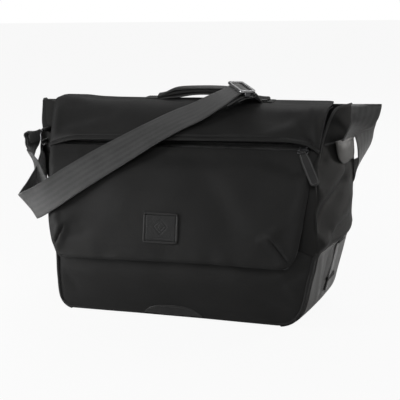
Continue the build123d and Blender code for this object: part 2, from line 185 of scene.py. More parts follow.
def sheet_mesh(name, p, thick, material, bead=0.45):
    """A closed sheet with a rounded rim, from a grid p of (rows, columns, xyz).

    p is one face, and the other lies at its thickness against the grid's normals: outside p, when the
    rows run down and the columns left to right as seen from outside.
    """
    n, m, _ = p.shape
    normal = grid_normals(p)
    inner = p - normal * thick
    loop = rim_loop(n, m)
    edge = np.array([p[i, j] for i, j in loop])
    edge_in = np.array([inner[i, j] for i, j in loop])
    nearer = np.array([p[min(max(i, 1), n - 2), min(max(j, 1), m - 2)] for i, j in loop])
    out = unit(edge - nearer)
    turns = 3  # rings of points round the rim, between the two faces
    rings = []
    for k in range(1, turns + 1):
        angle = math.pi * k / (turns + 1)
        mix = 0.5 - 0.5 * math.cos(angle)
        rings.append(edge * (1 - mix) + edge_in * mix + out * thick * bead * math.sin(angle))
    verts = np.vstack([p.reshape(-1, 3), inner.reshape(-1, 3)] + rings)
    coords = cloth_coords(p)
    loop_coords = np.array([coords[i, j] for i, j in loop])
    cloth = np.vstack([coords.reshape(-1, 3)] * 2 + [loop_coords] * turns)
    faces = [grid_faces(n, m), grid_faces(n, m, n * m, flip=True)]
    count = len(loop)
    outer_ids = np.array([i * m + j for i, j in loop])
    ring_ids = [2 * n * m + k * count + np.arange(count) for k in range(turns)]
    chains = [outer_ids] + ring_ids + [outer_ids + n * m]
    for a, b in zip(chains[:-1], chains[1:]):
        faces.append(np.stack([a, b, np.roll(b, -1), np.roll(a, -1)], 1))
    return add_object(name, verts, np.vstack(faces), material, cloth)


def frames_along(path, up):
    """Tangent, side and up vectors along a path, with up given at every point or once."""
    tangent = unit(np.gradient(path, axis=0))
    up = np.broadcast_to(np.asarray(up, float), path.shape)
    side = unit(np.cross(tangent, up))
    return tangent, side, np.cross(side, tangent)


def sweep(name, path, up, section, material, closed=False):
    """A section, (across, height) pairs going round, swept along a path and capped with domed ends."""
    tangent, side, lift = frames_along(path, up)
    if closed:
        tangent = unit(np.roll(path, -1, 0) - np.roll(path, 1, 0))
        side = unit(np.cross(tangent, np.broadcast_to(np.asarray(up, float), path.shape)))
        lift = np.cross(side, tangent)
    section = np.asarray(section, float)
    rings = path[:, None] + side[:, None] * section[None, :, :1] + lift[:, None] * section[None, :, 1:]
    n, m = rings.shape[:2]
    round_length = lengths(np.vstack([section, section[:1]]))[:-1]
    cloth = np.zeros((n, m, 3))
    cloth[:, :, 0] = round_length[None] - round_length[-1] / 2
    cloth[:, :, 1] = lengths(path)[:, None]
    verts = rings.reshape(-1, 3)
    cloth = cloth.reshape(-1, 3)
    faces = list(grid_faces(n, m, wrap=True, flip=True))
    if closed:
        last = (n - 1) * m
        faces += [(j, (j + 1) % m, last + (j + 1) % m, last + j) for j in range(m)]
    else:
        dome = 0.35 * np.abs(section).min(0).max() + 0.3
        for row, sign in ((0, -1), (n - 1, 1)):
            centre = len(verts)
            tip = path[row] + lift[row] * section[:, 1].mean() + tangent[row] * sign * dome
            verts = np.vstack([verts, tip])
            cloth = np.vstack([cloth, [0, lengths(path)[row], 0]])
            ids = row * m + np.arange(m)
            pairs = zip(ids, np.roll(ids, -1))
            faces += [(b, a, centre) if sign > 0 else (a, b, centre) for a, b in pairs]
    mesh_faces = [tuple(map(int, f)) for f in faces]
    return add_object(name, verts, mesh_faces, material, cloth)


def round_section(radius, sides=14):
    """A round cord's section."""
    a = np.linspace(0, 2 * math.pi, sides, endpoint=False)
    return np.stack([radius * np.cos(a), radius * np.sin(a)], 1)


def flat_section(width, thick, ribs=0, rib_height=0.03, count=33):
    """A flat strap's section: two wide faces with lengthwise ribs, and rounded edges."""
    half = width / 2 - thick / 2
    x = np.linspace(-half, half, count)
    ridge = rib_height * np.cos(2 * math.pi * ribs * (x / width)) if ribs else 0 * x
    top = np.stack([x, thick / 2 + ridge], 1)
    bottom = np.stack([x[::-1], -thick / 2 - ridge[::-1]], 1)
    a = np.linspace(math.pi / 2, -math.pi / 2, 5)[1:-1]
    right = np.stack([half + thick / 2 * np.cos(a), thick / 2 * np.sin(a)], 1)
    left = np.stack([-half - thick / 2 * np.cos(a), -thick / 2 * np.sin(a)], 1)
    return np.vstack([top, right, bottom, left])


def stitches(name, path, up, material, pitch=3.2, long=2.3, radius=0.32, lift=0.12):
    """A row of thread stitches along a path, as small capsules half sunk in the surface."""
    s = lengths(path)
    count = max(1, int(s[-1] / pitch))
    up = np.broadcast_to(np.asarray(up, float), path.shape)
    verts, faces = [], []
    sides = 6
    profile = [(-0.5, 0.25), (-0.36, 0.85), (0.0, 1.0), (0.36, 0.85), (0.5, 0.25)]
    angles = np.linspace(0, 2 * math.pi, sides, endpoint=False)
    for k in range(count):
        middle = (k + 0.5) * s[-1] / count
        at = np.array([np.interp(middle, s, path[:, c]) for c in range(3)])
        ahead = np.array([np.interp(min(middle + 1, s[-1]), s, path[:, c]) for c in range(3)])
        behind = np.array([np.interp(max(middle - 1, 0), s, path[:, c]) for c in range(3)])
        top = unit(np.array([np.interp(middle, s, up[:, c]) for c in range(3)]))
        run = unit(ahead - behind)
        side = unit(np.cross(run, top))
        start = len(verts)
        for along, size in profile:
            for a in angles:
                spoke = size * radius * (side * math.cos(a) + top * math.sin(a))
                verts.append(at + run * along * long + spoke + top * lift)
        faces += [tuple(f) for f in grid_faces(len(profile), sides, start, wrap=True, flip=True)]
        faces.append(tuple(start + np.arange(sides)))
        faces.append(tuple(start + (len(profile) - 1) * sides + np.arange(sides)[::-1]))
    return add_object(name, verts, faces, material)


def place(obj, body, slot, *nodes):
    """Makes a piece ride on a body and hides the CAD nodes that it replaces; slot is not used."""
    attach(obj, body)
    if nodes:
        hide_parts(*nodes)
    return obj


def bevel(obj, width, segments=3):
    """Rounds a piece's sharp edges with a bevel that stays live."""
    m = obj.modifiers.new("Bevel", "BEVEL")
    m.width = width * MM
    m.segments = segments
    m.limit_method = "ANGLE"
    m.angle_limit = math.radians(35)
    return obj


def plate(name, outline, plane, low, high, material, holes=(), round_by=0.3):
    """A plate cut to an outline in a plane (origin, x axis, y axis), between two heights, edges rounded."""
    origin, x_axis, y_axis = (np.asarray(v, float) for v in plane)
    normal = np.cross(x_axis, y_axis)
    loops = [np.asarray(outline, float)] + [np.asarray(h, float) for h in holes]
    curve = bpy.data.curves.new(name, "CURVE")
    curve.dimensions = "2D"
    curve.fill_mode = "BOTH"
    curve.extrude = (high - low) / 2 * MM
    for loop in loops:
        spline = curve.splines.new("POLY")
        spline.points.add(len(loop) - 1)
        flat, weight = np.zeros((len(loop), 1)), np.ones((len(loop), 1))
        spline.points.foreach_set("co", np.hstack([loop * MM, flat, weight]).ravel())
        spline.use_cyclic_u = True
    temp = bpy.data.objects.new(name + "_curve", curve)
    bpy.context.scene.collection.objects.link(temp)
    bpy.context.view_layer.update()
    mesh = bpy.data.meshes.new_from_object(temp)
    bpy.data.objects.remove(temp)
    mesh.name = name
    turn = Matrix((
        (x_axis[0], y_axis[0], normal[0], 0),
        (x_axis[1], y_axis[1], normal[1], 0),
        (x_axis[2], y_axis[2], normal[2], 0),
        (0, 0, 0, 1),
    ))
    mesh.transform(turn)
    mesh.transform(Matrix.Translation(Vector((origin + normal * (low + high) / 2) * MM)))
    mesh.materials.clear()
    mesh.materials.append(material)
    obj = bpy.data.objects.new(name, mesh)
    bpy.context.scene.collection.objects.link(obj)
    weld = obj.modifiers.new("Weld", "WELD")
    weld.merge_threshold = 0.00002
    bevel(obj, round_by)
    mesh.polygons.foreach_set("use_smooth", [True] * len(mesh.polygons))
    smooth = obj.modifiers.new("Normals", "WEIGHTED_NORMAL")
    smooth.keep_sharp = True
    return obj


def rounded_box(width, height, radius, centre=(0, 0), per=6):
    """A rounded rectangle's outline, with per segments to a corner."""
    points = []
    for cx, cy, start in ((1, 1, 0), (-1, 1, 90), (-1, -1, 180), (1, -1, 270)):
        for k in range(per + 1):
            a = math.radians(start + 90 * k / per)
            x = cx * (width / 2 - radius) + radius * math.cos(a) + centre[0]
            y = cy * (height / 2 - radius) + radius * math.sin(a) + centre[1]
            points.append((x, y))
    return np.array(points)


# ---- Materials -----------------------------------------------------------------------------------
class Nodes:
    """Short ways to build a material's node tree: each method adds a node and returns its output."""

    def __init__(self, name):
        self.material = bpy.data.materials.new(name)
        self.material.use_nodes = True
        self.tree = self.material.node_tree
        self.shader = self.tree.nodes["Principled BSDF"]

    def new(self, kind, **values):
        node = self.tree.nodes.new(kind)
        for key, value in values.items():
            setattr(node, key, value)
        return node

    def link(self, a, b):
        self.tree.links.new(a, b)

    def math(self, operation, a, b=None):
        node = self.new("ShaderNodeMath", operation=operation)
        for slot, value in enumerate((a, b)):
            if value is None:
                continue
            if isinstance(value, (int, float)):
                node.inputs[slot].default_value = value
            else:
                self.link(value, node.inputs[slot])
        return node.outputs[0]

    def place(self):
        """The cloth's own across and along, in metres."""
        attribute = self.new("ShaderNodeAttribute", attribute_name="cloth")
        parts = self.new("ShaderNodeSeparateXYZ")
        self.link(attribute.outputs["Vector"], parts.inputs[0])
        return parts.outputs[0], parts.outputs[1]

    def noise(self, vector, scale, detail=3.0, rough=0.55):
        node = self.new("ShaderNodeTexNoise")
        node.inputs["Scale"].default_value = scale
        node.inputs["Detail"].default_value = detail
        node.inputs["Roughness"].default_value = rough
        self.link(vector, node.inputs["Vector"])
        return node.outputs["Fac"]

    def ramp(self, fac, low, high, stops=(0.35, 0.65)):
        node = self.new("ShaderNodeValToRGB")
        node.color_ramp.elements[0].position = stops[0]
        node.color_ramp.elements[1].position = stops[1]
        node.color_ramp.elements[0].color = (*low, 1)
        node.color_ramp.elements[1].color = (*high, 1)
        self.link(fac, node.inputs[0])
        return node.outputs[0]

    def range(self, value, low, high, from_low=0.3, from_high=0.7):
        node = self.new("ShaderNodeMapRange")
        node.inputs["From Min"].default_value = from_low
        node.inputs["From Max"].default_value = from_high
        node.inputs["To Min"].default_value = low
        node.inputs["To Max"].default_value = high
        self.link(value, node.inputs["Value"])
        return node.outputs[0]

    def bump(self, height, distance, strength=1.0, after=None):
        node = self.new("ShaderNodeBump")
        node.inputs["Distance"].default_value = distance
        node.inputs["Strength"].default_value = strength
        self.link(height, node.inputs["Height"])
        if after is not None:
            self.link(after, node.inputs["Normal"])
        return node.outputs[0]

    def object_place(self):
        return self.new("ShaderNodeTexCoord").outputs["Object"]

    def set(self, **values):
        for key, value in values.items():
            self.shader.inputs[key.replace("_", " ")].default_value = value

    def finish(self, colour, rough, normal):
        self.link(colour, self.shader.inputs["Base Color"])
        self.link(rough, self.shader.inputs["Roughness"])
        self.link(normal, self.shader.inputs["Normal"])
        return self.material


def woven(name, dark, light, rough, sheen, pitch, depth, spec=0.5):
    """Plain woven cloth: threads crossing at a pitch in mm, slightly uneven in tone and gloss."""
    n = Nodes(name)
    u, v = n.place()
    k = 2 * math.pi / (pitch * MM)
    warp = n.math("SINE", n.math("MULTIPLY", u, k))
    weft = n.math("SINE", n.math("MULTIPLY", v, k))
    weave = n.math("MULTIPLY", warp, weft)
    object_at = n.object_place()
    broad = n.noise(object_at, 14, 4)
    fine = n.noise(object_at, 900, 2)
    colour = n.ramp(n.math("ADD", n.math("MULTIPLY", broad, 0.7), n.math("MULTIPLY", fine, 0.3)), dark, light)
    roughness = n.range(broad, rough - 0.05, rough + 0.06)
    soft = n.bump(n.noise(object_at, 42, 3), 0.0016, 0.35)
    normal = n.bump(weave, depth * MM, 1.0, soft)
    n.set(Sheen_Weight=sheen, Sheen_Roughness=0.45, Specular_IOR_Level=spec)
    n.set(Sheen_Tint=(0.9, 0.9, 0.92, 1))
    return n.finish(colour, roughness, normal)


def belt_webbing(name, dark=0.04, light=0.085):
    """Strap webbing: five lengthwise bands of close ribs, lighter on their crowns, with a satin sheen."""
    n = Nodes(name)
    u, v = n.place()
    band_wide, rib_pitch, thread_pitch = 0.0074, 0.0013, 0.0011
    bands = n.math("COSINE", n.math("MULTIPLY", u, 2 * math.pi / band_wide))
    slant = n.math("ADD", n.math("MULTIPLY", v, 2 * math.pi / rib_pitch), n.math("MULTIPLY", bands, 1.6))
    rib = n.math("SINE", slant)
    thread = n.math("SINE", n.math("MULTIPLY", u, 2 * math.pi / thread_pitch))
    height = n.math("ADD", n.math("MULTIPLY", rib, 0.5), n.math("MULTIPLY", thread, 0.5))
    object_at = n.object_place()
    broad = n.noise(object_at, 60, 4)
    mottle = n.math("MULTIPLY", n.noise(object_at, 700, 2), 0.45)
    uneven = n.math("ADD", n.math("MULTIPLY", broad, 0.6), mottle)
    tone = n.math("ADD", n.math("MULTIPLY", bands, 0.11), uneven)
    colour = n.ramp(tone, (dark, dark, dark), (light, light, light), (0.3, 0.75))
    roughness = n.range(broad, 0.36, 0.46)
    normal = n.bump(height, 0.00012, 1.0, n.bump(bands, 0.00005, 0.4))
    n.set(Sheen_Weight=0.55, Sheen_Roughness=0.35, Specular_IOR_Level=0.7)
    n.set(Sheen_Tint=(1, 1, 1, 1))
    return n.finish(colour, roughness, normal)


def leather(name, dark, light, rough, coat, grain=0.00018):
    """Smooth grained leather, creased a little, lighter where worn on raised parts."""
    n = Nodes(name)
    at = n.object_place()
    cells = n.new("ShaderNodeTexVoronoi", feature="DISTANCE_TO_EDGE")
    cells.inputs["Scale"].default_value = 900
    n.link(at, cells.inputs["Vector"])
    pores = n.range(cells.outputs["Distance"], 0, 1, 0.0, 0.35)
    broad = n.noise(at, 90, 5)
    colour = n.ramp(broad, dark, light)
    edge = n.new("ShaderNodeNewGeometry").outputs["Pointiness"]
    worn = n.range(edge, 0, 0.35, 0.52, 0.6)
    mix = n.new("ShaderNodeMix", data_type="RGBA")
    n.link(worn, mix.inputs["Factor"])
    n.link(colour, mix.inputs["A"])
    mix.inputs["B"].default_value = (0.075, 0.072, 0.068, 1)
    roughness = n.range(broad, rough - 0.05, rough + 0.07)
    normal = n.bump(pores, grain, 0.55, n.bump(n.noise(at, 160, 4), 0.0005, 0.4))
    n.set(Coat_Weight=coat, Coat_Roughness=0.28, Specular_IOR_Level=0.5)
    return n.finish(mix.outputs["Result"], roughness, normal)


def ribbed_binding(name):
    """Grosgrain edge binding: close ribs across its run."""
    n = Nodes(name)
    v = n.place()[1]
    rib_pitch = 0.0016
    rib = n.math("SINE", n.math("MULTIPLY", v, 2 * math.pi / rib_pitch))
    broad = n.noise(n.object_place(), 80, 3)
    tone = n.math("ADD", n.math("MULTIPLY", rib, 0.12), broad)
    colour = n.ramp(tone, (0.007, 0.007, 0.007), (0.017, 0.017, 0.017))
    normal = n.bump(rib, 0.00025, 0.9)
    n.set(Sheen_Weight=0.15, Sheen_Roughness=0.5, Specular_IOR_Level=0.4)
    return n.finish(colour, n.range(broad, 0.6, 0.72), normal)


def metal(name, colour, rough):
    """Painted or plated dark metal, brushed and rubbed brighter on its edges."""
    n = Nodes(name)
    at = n.object_place()
    brushed = n.noise(at, 1400, 2)
    broad = n.noise(at, 120, 4)
    edge = n.range(n.new("ShaderNodeNewGeometry").outputs["Pointiness"], 0, 1, 0.5, 0.62)
    base = n.ramp(broad, colour, tuple(1.25 * c for c in colour))
    mix = n.new("ShaderNodeMix", data_type="RGBA")
    n.link(n.math("MULTIPLY", edge, 0.25), mix.inputs["Factor"])
    n.link(base, mix.inputs["A"])
    mix.inputs["B"].default_value = (0.5, 0.5, 0.5, 1)
    n.set(Metallic=1.0, Specular_IOR_Level=0.5)
    roughness = n.range(broad, rough - 0.05, rough + 0.08)
    return n.finish(mix.outputs["Result"], roughness, n.bump(brushed, 0.00001, 0.4))


NYLON = woven("nylon_twill", (0.014, 0.014, 0.0138), (0.0195, 0.0192, 0.0188), 0.6, 0.06, 0.9, 0.05, 0.29)
# The gussets' nylon is a darker copy of the body nylon: painted shade against the right-hand lamps.
SHADED_GUSSET_NYLON = woven(
    "nylon_gusset_painted_shade", (0.0068, 0.0066, 0.0062), (0.0105, 0.0101, 0.0094), 0.52, 0.04, 0.9, 0.05, 0.3
)
# The gusset tops' nylon is darker still: painted shade from the flap and strap above.
SHADED_UPPER_NYLON = woven(
    "nylon_upper_painted_shade", (0.0042, 0.0042, 0.0041), (0.007, 0.007, 0.0068), 0.6, 0.03, 0.9, 0.05, 0.25
)
LINING = woven("lining_cloth", (0.05, 0.05, 0.052), (0.068, 0.068, 0.07), 0.7, 0.2, 0.7, 0.04, 0.35)
WEBBING = belt_webbing("strap_webbing", 0.036, 0.074)
# The side strips' webbing is a lighter copy of the strap webbing: a painted rim highlight.
LIT_STRIP_WEBBING = belt_webbing("strip_webbing_painted_highlight", 0.12, 0.24)
BINDING = ribbed_binding("ribbed_binding")
LEATHER = leather("smooth_leather", (0.016, 0.016, 0.016), (0.028, 0.0275, 0.027), 0.42, 0.25)
GLOSSY_LEATHER = leather("gusset_leather", (0.026, 0.0255, 0.0245), (0.038, 0.037, 0.0355), 0.32, 0.5)
# The right anchor tab's leather is a lighter copy of the leather: a painted highlight.
LIT_TAB_LEATHER = leather("tab_leather_painted_highlight", (0.05, 0.0485, 0.046), (0.07, 0.068, 0.065), 0.34, 0.4)
PATCH_LEATHER = leather("patch_leather", (0.0135, 0.0135, 0.0135), (0.0195, 0.0195, 0.0195), 0.5, 0.1)
THREAD = woven("stitch_thread", (0.045, 0.045, 0.045), (0.08, 0.08, 0.08), 0.6, 0.3, 0.5, 0.05)
PALE_THREAD = woven("pale_thread", (0.14, 0.14, 0.14), (0.22, 0.22, 0.22), 0.6, 0.3, 0.5, 0.05)
BLACK_THREAD = woven("black_thread", (0.003, 0.003, 0.003), (0.006, 0.006, 0.006), 0.7, 0.0, 0.5, 0.05, 0.2)
DARK_THREAD = woven("dark_thread", (0.012, 0.012, 0.012), (0.024, 0.024, 0.024), 0.6, 0.3, 0.5, 0.05)
METAL = metal("dark_metal", (0.1, 0.1, 0.105), 0.3)
BRIGHT_METAL = metal("adjuster_metal", (0.5, 0.5, 0.51), 0.3)
TEETH = metal("zip_metal", (0.06, 0.06, 0.06), 0.38)
BOARD = woven("base_board_cloth", (0.03, 0.03, 0.03), (0.045, 0.045, 0.045), 0.8, 0.1, 1.4, 0.05, 0.3)


# ---- Measured shapes of the bag ------------------------------------------------------------------
FLAP_SIDE = [
    (-81.5, 80), (-80, 98), (-75, 122), (-65, 153), (-49, 190), (-32, 212), (-14, 231.5), (6, 252),
    (27, 267), (58, 268.5)
]
PLACKET_SIDE = [
    (-40, 215), (-30, 226), (-20, 237), (-6, 250), (10, 262.5), (26, 270.2), (42, 271.6), (56, 271.8),
    (63, 270), (67.2, 263), (67.6, 252)
]
flap_left = smooth_table([
    (80, -152), (83, -157), (91, -160.6), (101, -164.6), (118, -168.4), (134, -170.8), (158, -172.4),
    (181, -174.7), (200, -179), (219, -183.6), (237, -185.5), (251, -188.5), (262, -191.5),
    (268, -194.5), (275, -197)
])
flap_right = smooth_table([
    (80, 146), (83, 154), (87, 158.5), (100, 165.5), (120, 169.3), (140, 172.3), (169, 175.8),
    (184, 177.2), (202, 179), (221, 183), (240, 183.4), (258, 184.6), (275, 186.5)
])
free_edge = smooth_table([(-160, 79), (-80, 80.7), (-15, 82.4), (55, 83.4), (109, 82.6), (152, 82.4)])
lip_height = smooth_table([
    (-190, 220), (-181, 222.5), (-150, 226.5), (-100, 228.2), (31, 229.9), (120, 231.2), (164, 230.4),
    (178, 227.4), (190, 222)
])

front_right = smooth_table([
    (0, 170), (26, 172), (42, 176), (61, 180), (77, 184), (93, 187), (108, 191), (130, 189), (170, 185),
    (217, 184), (270, 187)
])
front_left = smooth_table([
    (0, -161), (23, -162.4), (47, -161), (76, -160.5), (120, -165), (170, -170), (217, -174), (270, -180)
])
rear_right = smooth_table([
    (0, 185), (29, 188), (70, 198), (89, 202.5), (110, 208), (132, 209.5), (167, 211), (179, 212),
    (217, 211), (270, 209)
])
rear_left = smooth_table([
    (0, -176), (29, -181), (70, -192), (110, -206), (140, -216), (167, -221), (217, -226),
    (240, -230.5), (270, -230)
])
front_y = smooth_table([
    (-2, -60), (8, -62.5), (22, -66), (55, -71.5), (80, -70.3), (98, -68.6), (122, -65.5), (153, -57.5),
    (190, -42), (212, -26), (231.5, -9), (250, 10), (262, 24), (268, 30)
])
top_height = smooth_table([
    (0, 217), (0.04, 238), (0.1, 254), (0.2, 263.5), (0.4, 266.5), (0.75, 267), (1, 267)
])
BACK_Y = 64.0
UPPER_SEAM = 226  # the height of the seam under each gusset's upper panel
MOUTH = 217  # the height of the front panel's top
CORNERS = {True: 33.0, False: 15.0}  # the bottom corner radii, right and left


# ---- Body: boxing round the sides and the bottom -------------------------------------------------
def corner_inset(z, right):
    """How far a rounded bottom corner draws the side in at a height."""
    radius = CORNERS[right]
    up = np.clip(z, 0, radius)
    return radius - np.sqrt(np.maximum(radius**2 - (radius - up) ** 2, 0))


gusset_wave = waves(3, 7, 45, 120)
# (depth y, height z) of each crease's two ends, its width and its height
RIGHT_FOLDS = [
    ((-56, 138), (14, 172), 11, -3.2), ((-46, 168), (2, 190), 9, 2.6), ((-50, 190), (-22, 206), 6, -1.8),
    ((-18, 138), (52, 150), 16, 3.4), ((-36, 119), (34, 127), 8, -1.6), ((-60, 112), (-34, 122), 7, 2.0),
    ((20, 168), (46, 190), 12, 1.6), ((-10, 104), (44, 106), 9, 1.6),
]
LEFT_FOLDS = [
    ((-50, 150), (30, 178), 8, 3), ((-40, 186), (20, 196), 7, 2.6), ((-30, 120), (40, 110), 9, 3),
    ((0, 235), (40, 215), 7, -2)
]


def side_point(z, w, right):
    """A point of a gusset: z is the height and w runs from the front seam, 0, to the rear seam, 1."""
    front = front_right(z) if right else front_left(z)
    rear = rear_right(z) if right else rear_left(z)
    y = (1 - w) * front_y(z) + w * BACK_Y
    sign = 1 if right else -1
    arch = 4 * w * (1 - w)
    if right:
        bulge = arch * (2 + 4.5 * step(90, 125, z) * (1 - 0.6 * step(190, 250, z)))
        nylon = step(95, 110, z)
        bulge = bulge + nylon * (4.2 * bell(z - 108, 8) * step(0.0, 0.3, w) * (1 - 0.4 * step(0.8, 1.0, w)))
        soft = (2.1 * folds(y, z, RIGHT_FOLDS) + 0.5 * gusset_wave(y, z)) * (1 - 0.75 * step(0.62, 0.95, w))
        fade = np.minimum(1, 0.3 + 4 * arch) * (1 - step(0.9, 1, w)) * (1 - 0.75 * step(214, UPPER_SEAM, z))
        bulge = bulge + nylon * soft * fade
    else:
        bulge = 2 * arch + 10 * step(105, 150, z) * step(0.3, 0.7, w) * (1 - 0.8 * step(0.85, 1, w))
        soft = folds(y, z, LEFT_FOLDS) + 1.0 * gusset_wave(y + 40, z)
        bulge = bulge + soft * step(90, 110, z) * np.minimum(1, 5 * arch)
    x = front * (1 - w) + rear * w + sign * bulge - sign * corner_inset(z, right)
    return np.stack(np.broadcast_arrays(x, y, z), -1)


def with_front_wrap(p, z, columns=14):
    """Adds the cloth that turns round the front seam above the waist and runs in under the flap's edge."""
    t = np.linspace(1, 0, columns, endpoint=False)[None]
    under_flap = np.maximum(front_right(z) - flap_right(z) + 4, 3)
    reach = under_flap * step(95, 107, z) * (1 - step(206, 214, z)) + 0.4
    x = p[:, :1, 0] + 0.4 - reach * t
    y = front_y(z) - 2.5 * np.sin(math.pi * np.clip(0.12 + 0.8 * (1 - t), 0, 1)) * step(93, 103, z) + 0 * t
    wrap = np.stack([x, y, z + 0 * t], -1)
    whole = np.concatenate([wrap, p], 1)
    kernel = np.array([0.1, 0.2, 0.4, 0.2, 0.1])
    round_to = columns + 6
    for axis in (0, 1):
        rows = whole[:, :round_to, axis]
        padded = np.pad(rows, ((0, 0), (2, 2)), "edge")
        soft = sum(k * padded[:, i : i + round_to] for i, k in enumerate(kernel))
        soft[:, 0] = rows[:, 0]
        soft[:, -3:] = rows[:, -3:]
        whole[:, :round_to, axis] = soft
    return whole


def gusset_grid(right, rows=150, columns=64):
    """The whole gusset from its slanted top to the bottom corner: rows go down, columns run front to rear."""
    w = np.linspace(0, 1, columns)[None]
    t = np.linspace(0, 1, rows)[:, None]
    top = top_height(w)
    low = 0.4
    z = top + (low - top) * (1 - (1 - t) ** 1.35)
    p = side_point(z, w, right)
    if right:
        p = with_front_wrap(p, z[:, :1])
    return p


def gusset_piece(name, right):
    """A gusset's cloth, with its columns in the order that puts its face outside; its darker nylon is painted
    shade.
    """
    p = gusset_grid(right)
    if not right:
        p = p[:, ::-1]
    return sheet_mesh(name, p, 1.8, SHADED_GUSSET_NYLON)


place(gusset_piece("right_gusset", True), "body", "nylon", "right_gusset")
place(gusset_piece("left_gusset", False), "body", "nylon", "left_gusset")

# The base: a soft flat bottom between the gusset corners.
bottom_w = np.linspace(0, 1, 40)[:, None]
bottom_t = np.linspace(0, 1, 90)[None]
right_end = front_right(0) * (1 - bottom_w) + rear_right(0) * bottom_w - CORNERS[True] + 2.5
left_end = front_left(0) * (1 - bottom_w) + rear_left(0) * bottom_w + CORNERS[False] - 2.5
base_x = left_end + (right_end - left_end) * bottom_t
base_y = (-59.5 * (1 - bottom_w) + BACK_Y * bottom_w) + 0 * base_x
base_wave = waves(5, 6, 30, 80)(base_x, base_y) * np.sin(math.pi * bottom_w)
base_z = 0.35 + 0.5 * bell(bottom_w - 0.5, 0.3) + 0.25 * base_wave
base_grid = np.stack([base_x, base_y, np.maximum(base_z, 0.1)], -1)[::-1]
place(sheet_mesh("base_panel", base_grid, 2.0, NYLON), "body", "nylon", "base_panel")


# ---- Body: front and back panels -----------------------------------------------------------------
def front_limits(z):
    """The front panel's left and right edges at a height."""
    return front_left(z) + corner_inset(z, False), front_right(z) - corner_inset(z, True)


front_wave = waves(11, 8, 50, 140)
FRONT_FOLDS = [
    ((96, 62), (150, 34), 12, 1.7), ((150, 70), (172, 40), 9, 1.6), ((120, 30), (160, 20), 10, -1.0),
    ((-158, 66), (-140, 40), 8, -1.3), ((-152, 58), (-120, 52), 9, 1.0), ((30, 70), (110, 60), 16, 1.0),
    ((160, 96), (190, 92), 6, 1.5), ((60, 22), (120, 14), 9, 1.1), ((176, 80), (150, 62), 6, -1.2)
]


def front_grid(low, high, rows, columns):
    """The front panel's grid between two heights: it bellies out low down and dips at its seams."""
    t = np.linspace(0, 1, rows)[:, None]
    u = np.linspace(0, 1, columns)[None]
    z = high + (low - high) * t + 0 * u
    left, right = front_limits(z)
    x = left + (right - left) * u
    edge = np.minimum(np.minimum(x - left, right - x), z - low + 2)
    low_arch = np.sin(math.pi * np.clip((z + 12) / 110, 0, 1))
    belly = 3.6 * step(0, 60, np.minimum(x - left, right - x)) * low_arch
    soft = 0.7 * front_wave(x, z) + folds(x, z, FRONT_FOLDS)
    puff = belly + soft * step(0, 16, edge) - 1.4 * bell(edge, 5)
    y = front_y(z) - puff * (1 - 0.7 * step(110, 160, z))
    return np.stack([x, y, z], -1)


place(sheet_mesh("front_panel", front_grid(2.4, MOUTH, 130, 190), 1.9, NYLON), "body", "nylon", "front_panel")

back_t = np.linspace(0, 1, 90)[:, None]
back_u = np.linspace(0, 1, 130)[None]
back_z = 266 + (1.2 - 266) * back_t + 0 * back_u
back_left = rear_left(back_z) + corner_inset(back_z, False)
back_right = rear_right(back_z) - corner_inset(back_z, True)
back_x = back_right + (back_left - back_right) * back_u
back_edge = np.minimum(np.minimum(back_right - back_x, back_x - back_left), back_z)
back_wave = waves(21, 8, 60, 160)(back_x, back_z) * step(0, 20, back_edge)
back_puff = 2.4 * step(0, 50, back_edge) - 0.6 * bell(back_edge, 5) + 0.8 * back_wave
back_grid = np.stack([back_x, BACK_Y + back_puff * (1 - 0.9 * step(236, 258, back_z)), back_z], -1)
place(sheet_mesh("back_panel", back_grid, 1.9, NYLON), "body", "nylon", "back_panel")


# ---- Piping and bindings -------------------------------------------------------------------------
def seam_side(x_of, y_of, top, right):
    """One side of a seam's line: down the side and round its bottom corner."""
    radius = CORNERS[right]
    sign = 1 if right else -1
    points = [(x_of(z), y_of(z), z) for z in np.linspace(top, radius, 40)]
    for angle in np.linspace(0, math.pi / 2, 14)[1:]:
        z = radius * (1 - math.sin(angle))
        points.append((x_of(z) - sign * radius * (1 - math.cos(angle)), y_of(z), z))
    return points


def seam_path(right_x, left_x, y_of, top, right_top=None, count=260):
    """A seam's line down the right side, along the bottom and up the left side."""
    right_side = seam_side(right_x, y_of, right_top or top, True)
    left_side = seam_side(left_x, y_of, top, False)
    points = np.array(right_side + left_side[::-1], float)
    s = lengths(points)
    at = np.linspace(0, s[-1], count)
    return np.stack([np.interp(at, s, points[:, k]) for k in range(3)], 1)


front_seam = seam_path(front_right, front_left, lambda z: front_y(z) - 0.6, 214, right_top=100)
front_seam[:, 2] += 2.2 + 1.0 * bell(front_seam[:, 0], 90) * (front_seam[:, 2] < 5)
front_piping = sweep("front_piping", front_seam, (0, -1, 0), round_section(2.2), BINDING)
place(front_piping, "body", "binding", "front_piping")
rear_seam = seam_path(rear_right, rear_left, lambda z: BACK_Y + 0.4, 262)
rear_seam[:, 2] += 1.2
rear_piping = sweep("rear_piping", rear_seam, (0, 1, 0), round_section(1.75), BINDING)
place(rear_piping, "body", "binding", "rear_piping")


def top_binding(name, right):
    """The tape bound over the slanted top edge of a gusset."""
    w = np.linspace(0, 1, 60)
    path = side_point(top_height(w), w, right)
    out = (1.0 if right else -1.0, 0, 0)
    return sweep(name, path - (0, 0, 3.4), out, flat_section(10.5, 3.6), BINDING)


place(top_binding("right_gusset_binding", True), "body", "binding", "right_gusset_binding")
place(top_binding("left_gusset_binding", False), "body", "binding", "left_gusset_binding")
mouth_x = np.linspace(front_left(215) + 2, front_right(215) - 2, 60)
mouth = np.stack([mouth_x, front_y(215.0) + 0 * mouth_x + 0.7, 214.0 + 0 * mouth_x], -1)
mouth_binding = sweep("mouth_binding", mouth, (0, -0.8, 0.6), flat_section(11, 3.4), BINDING)
place(mouth_binding, "body", "binding", "mouth_binding")


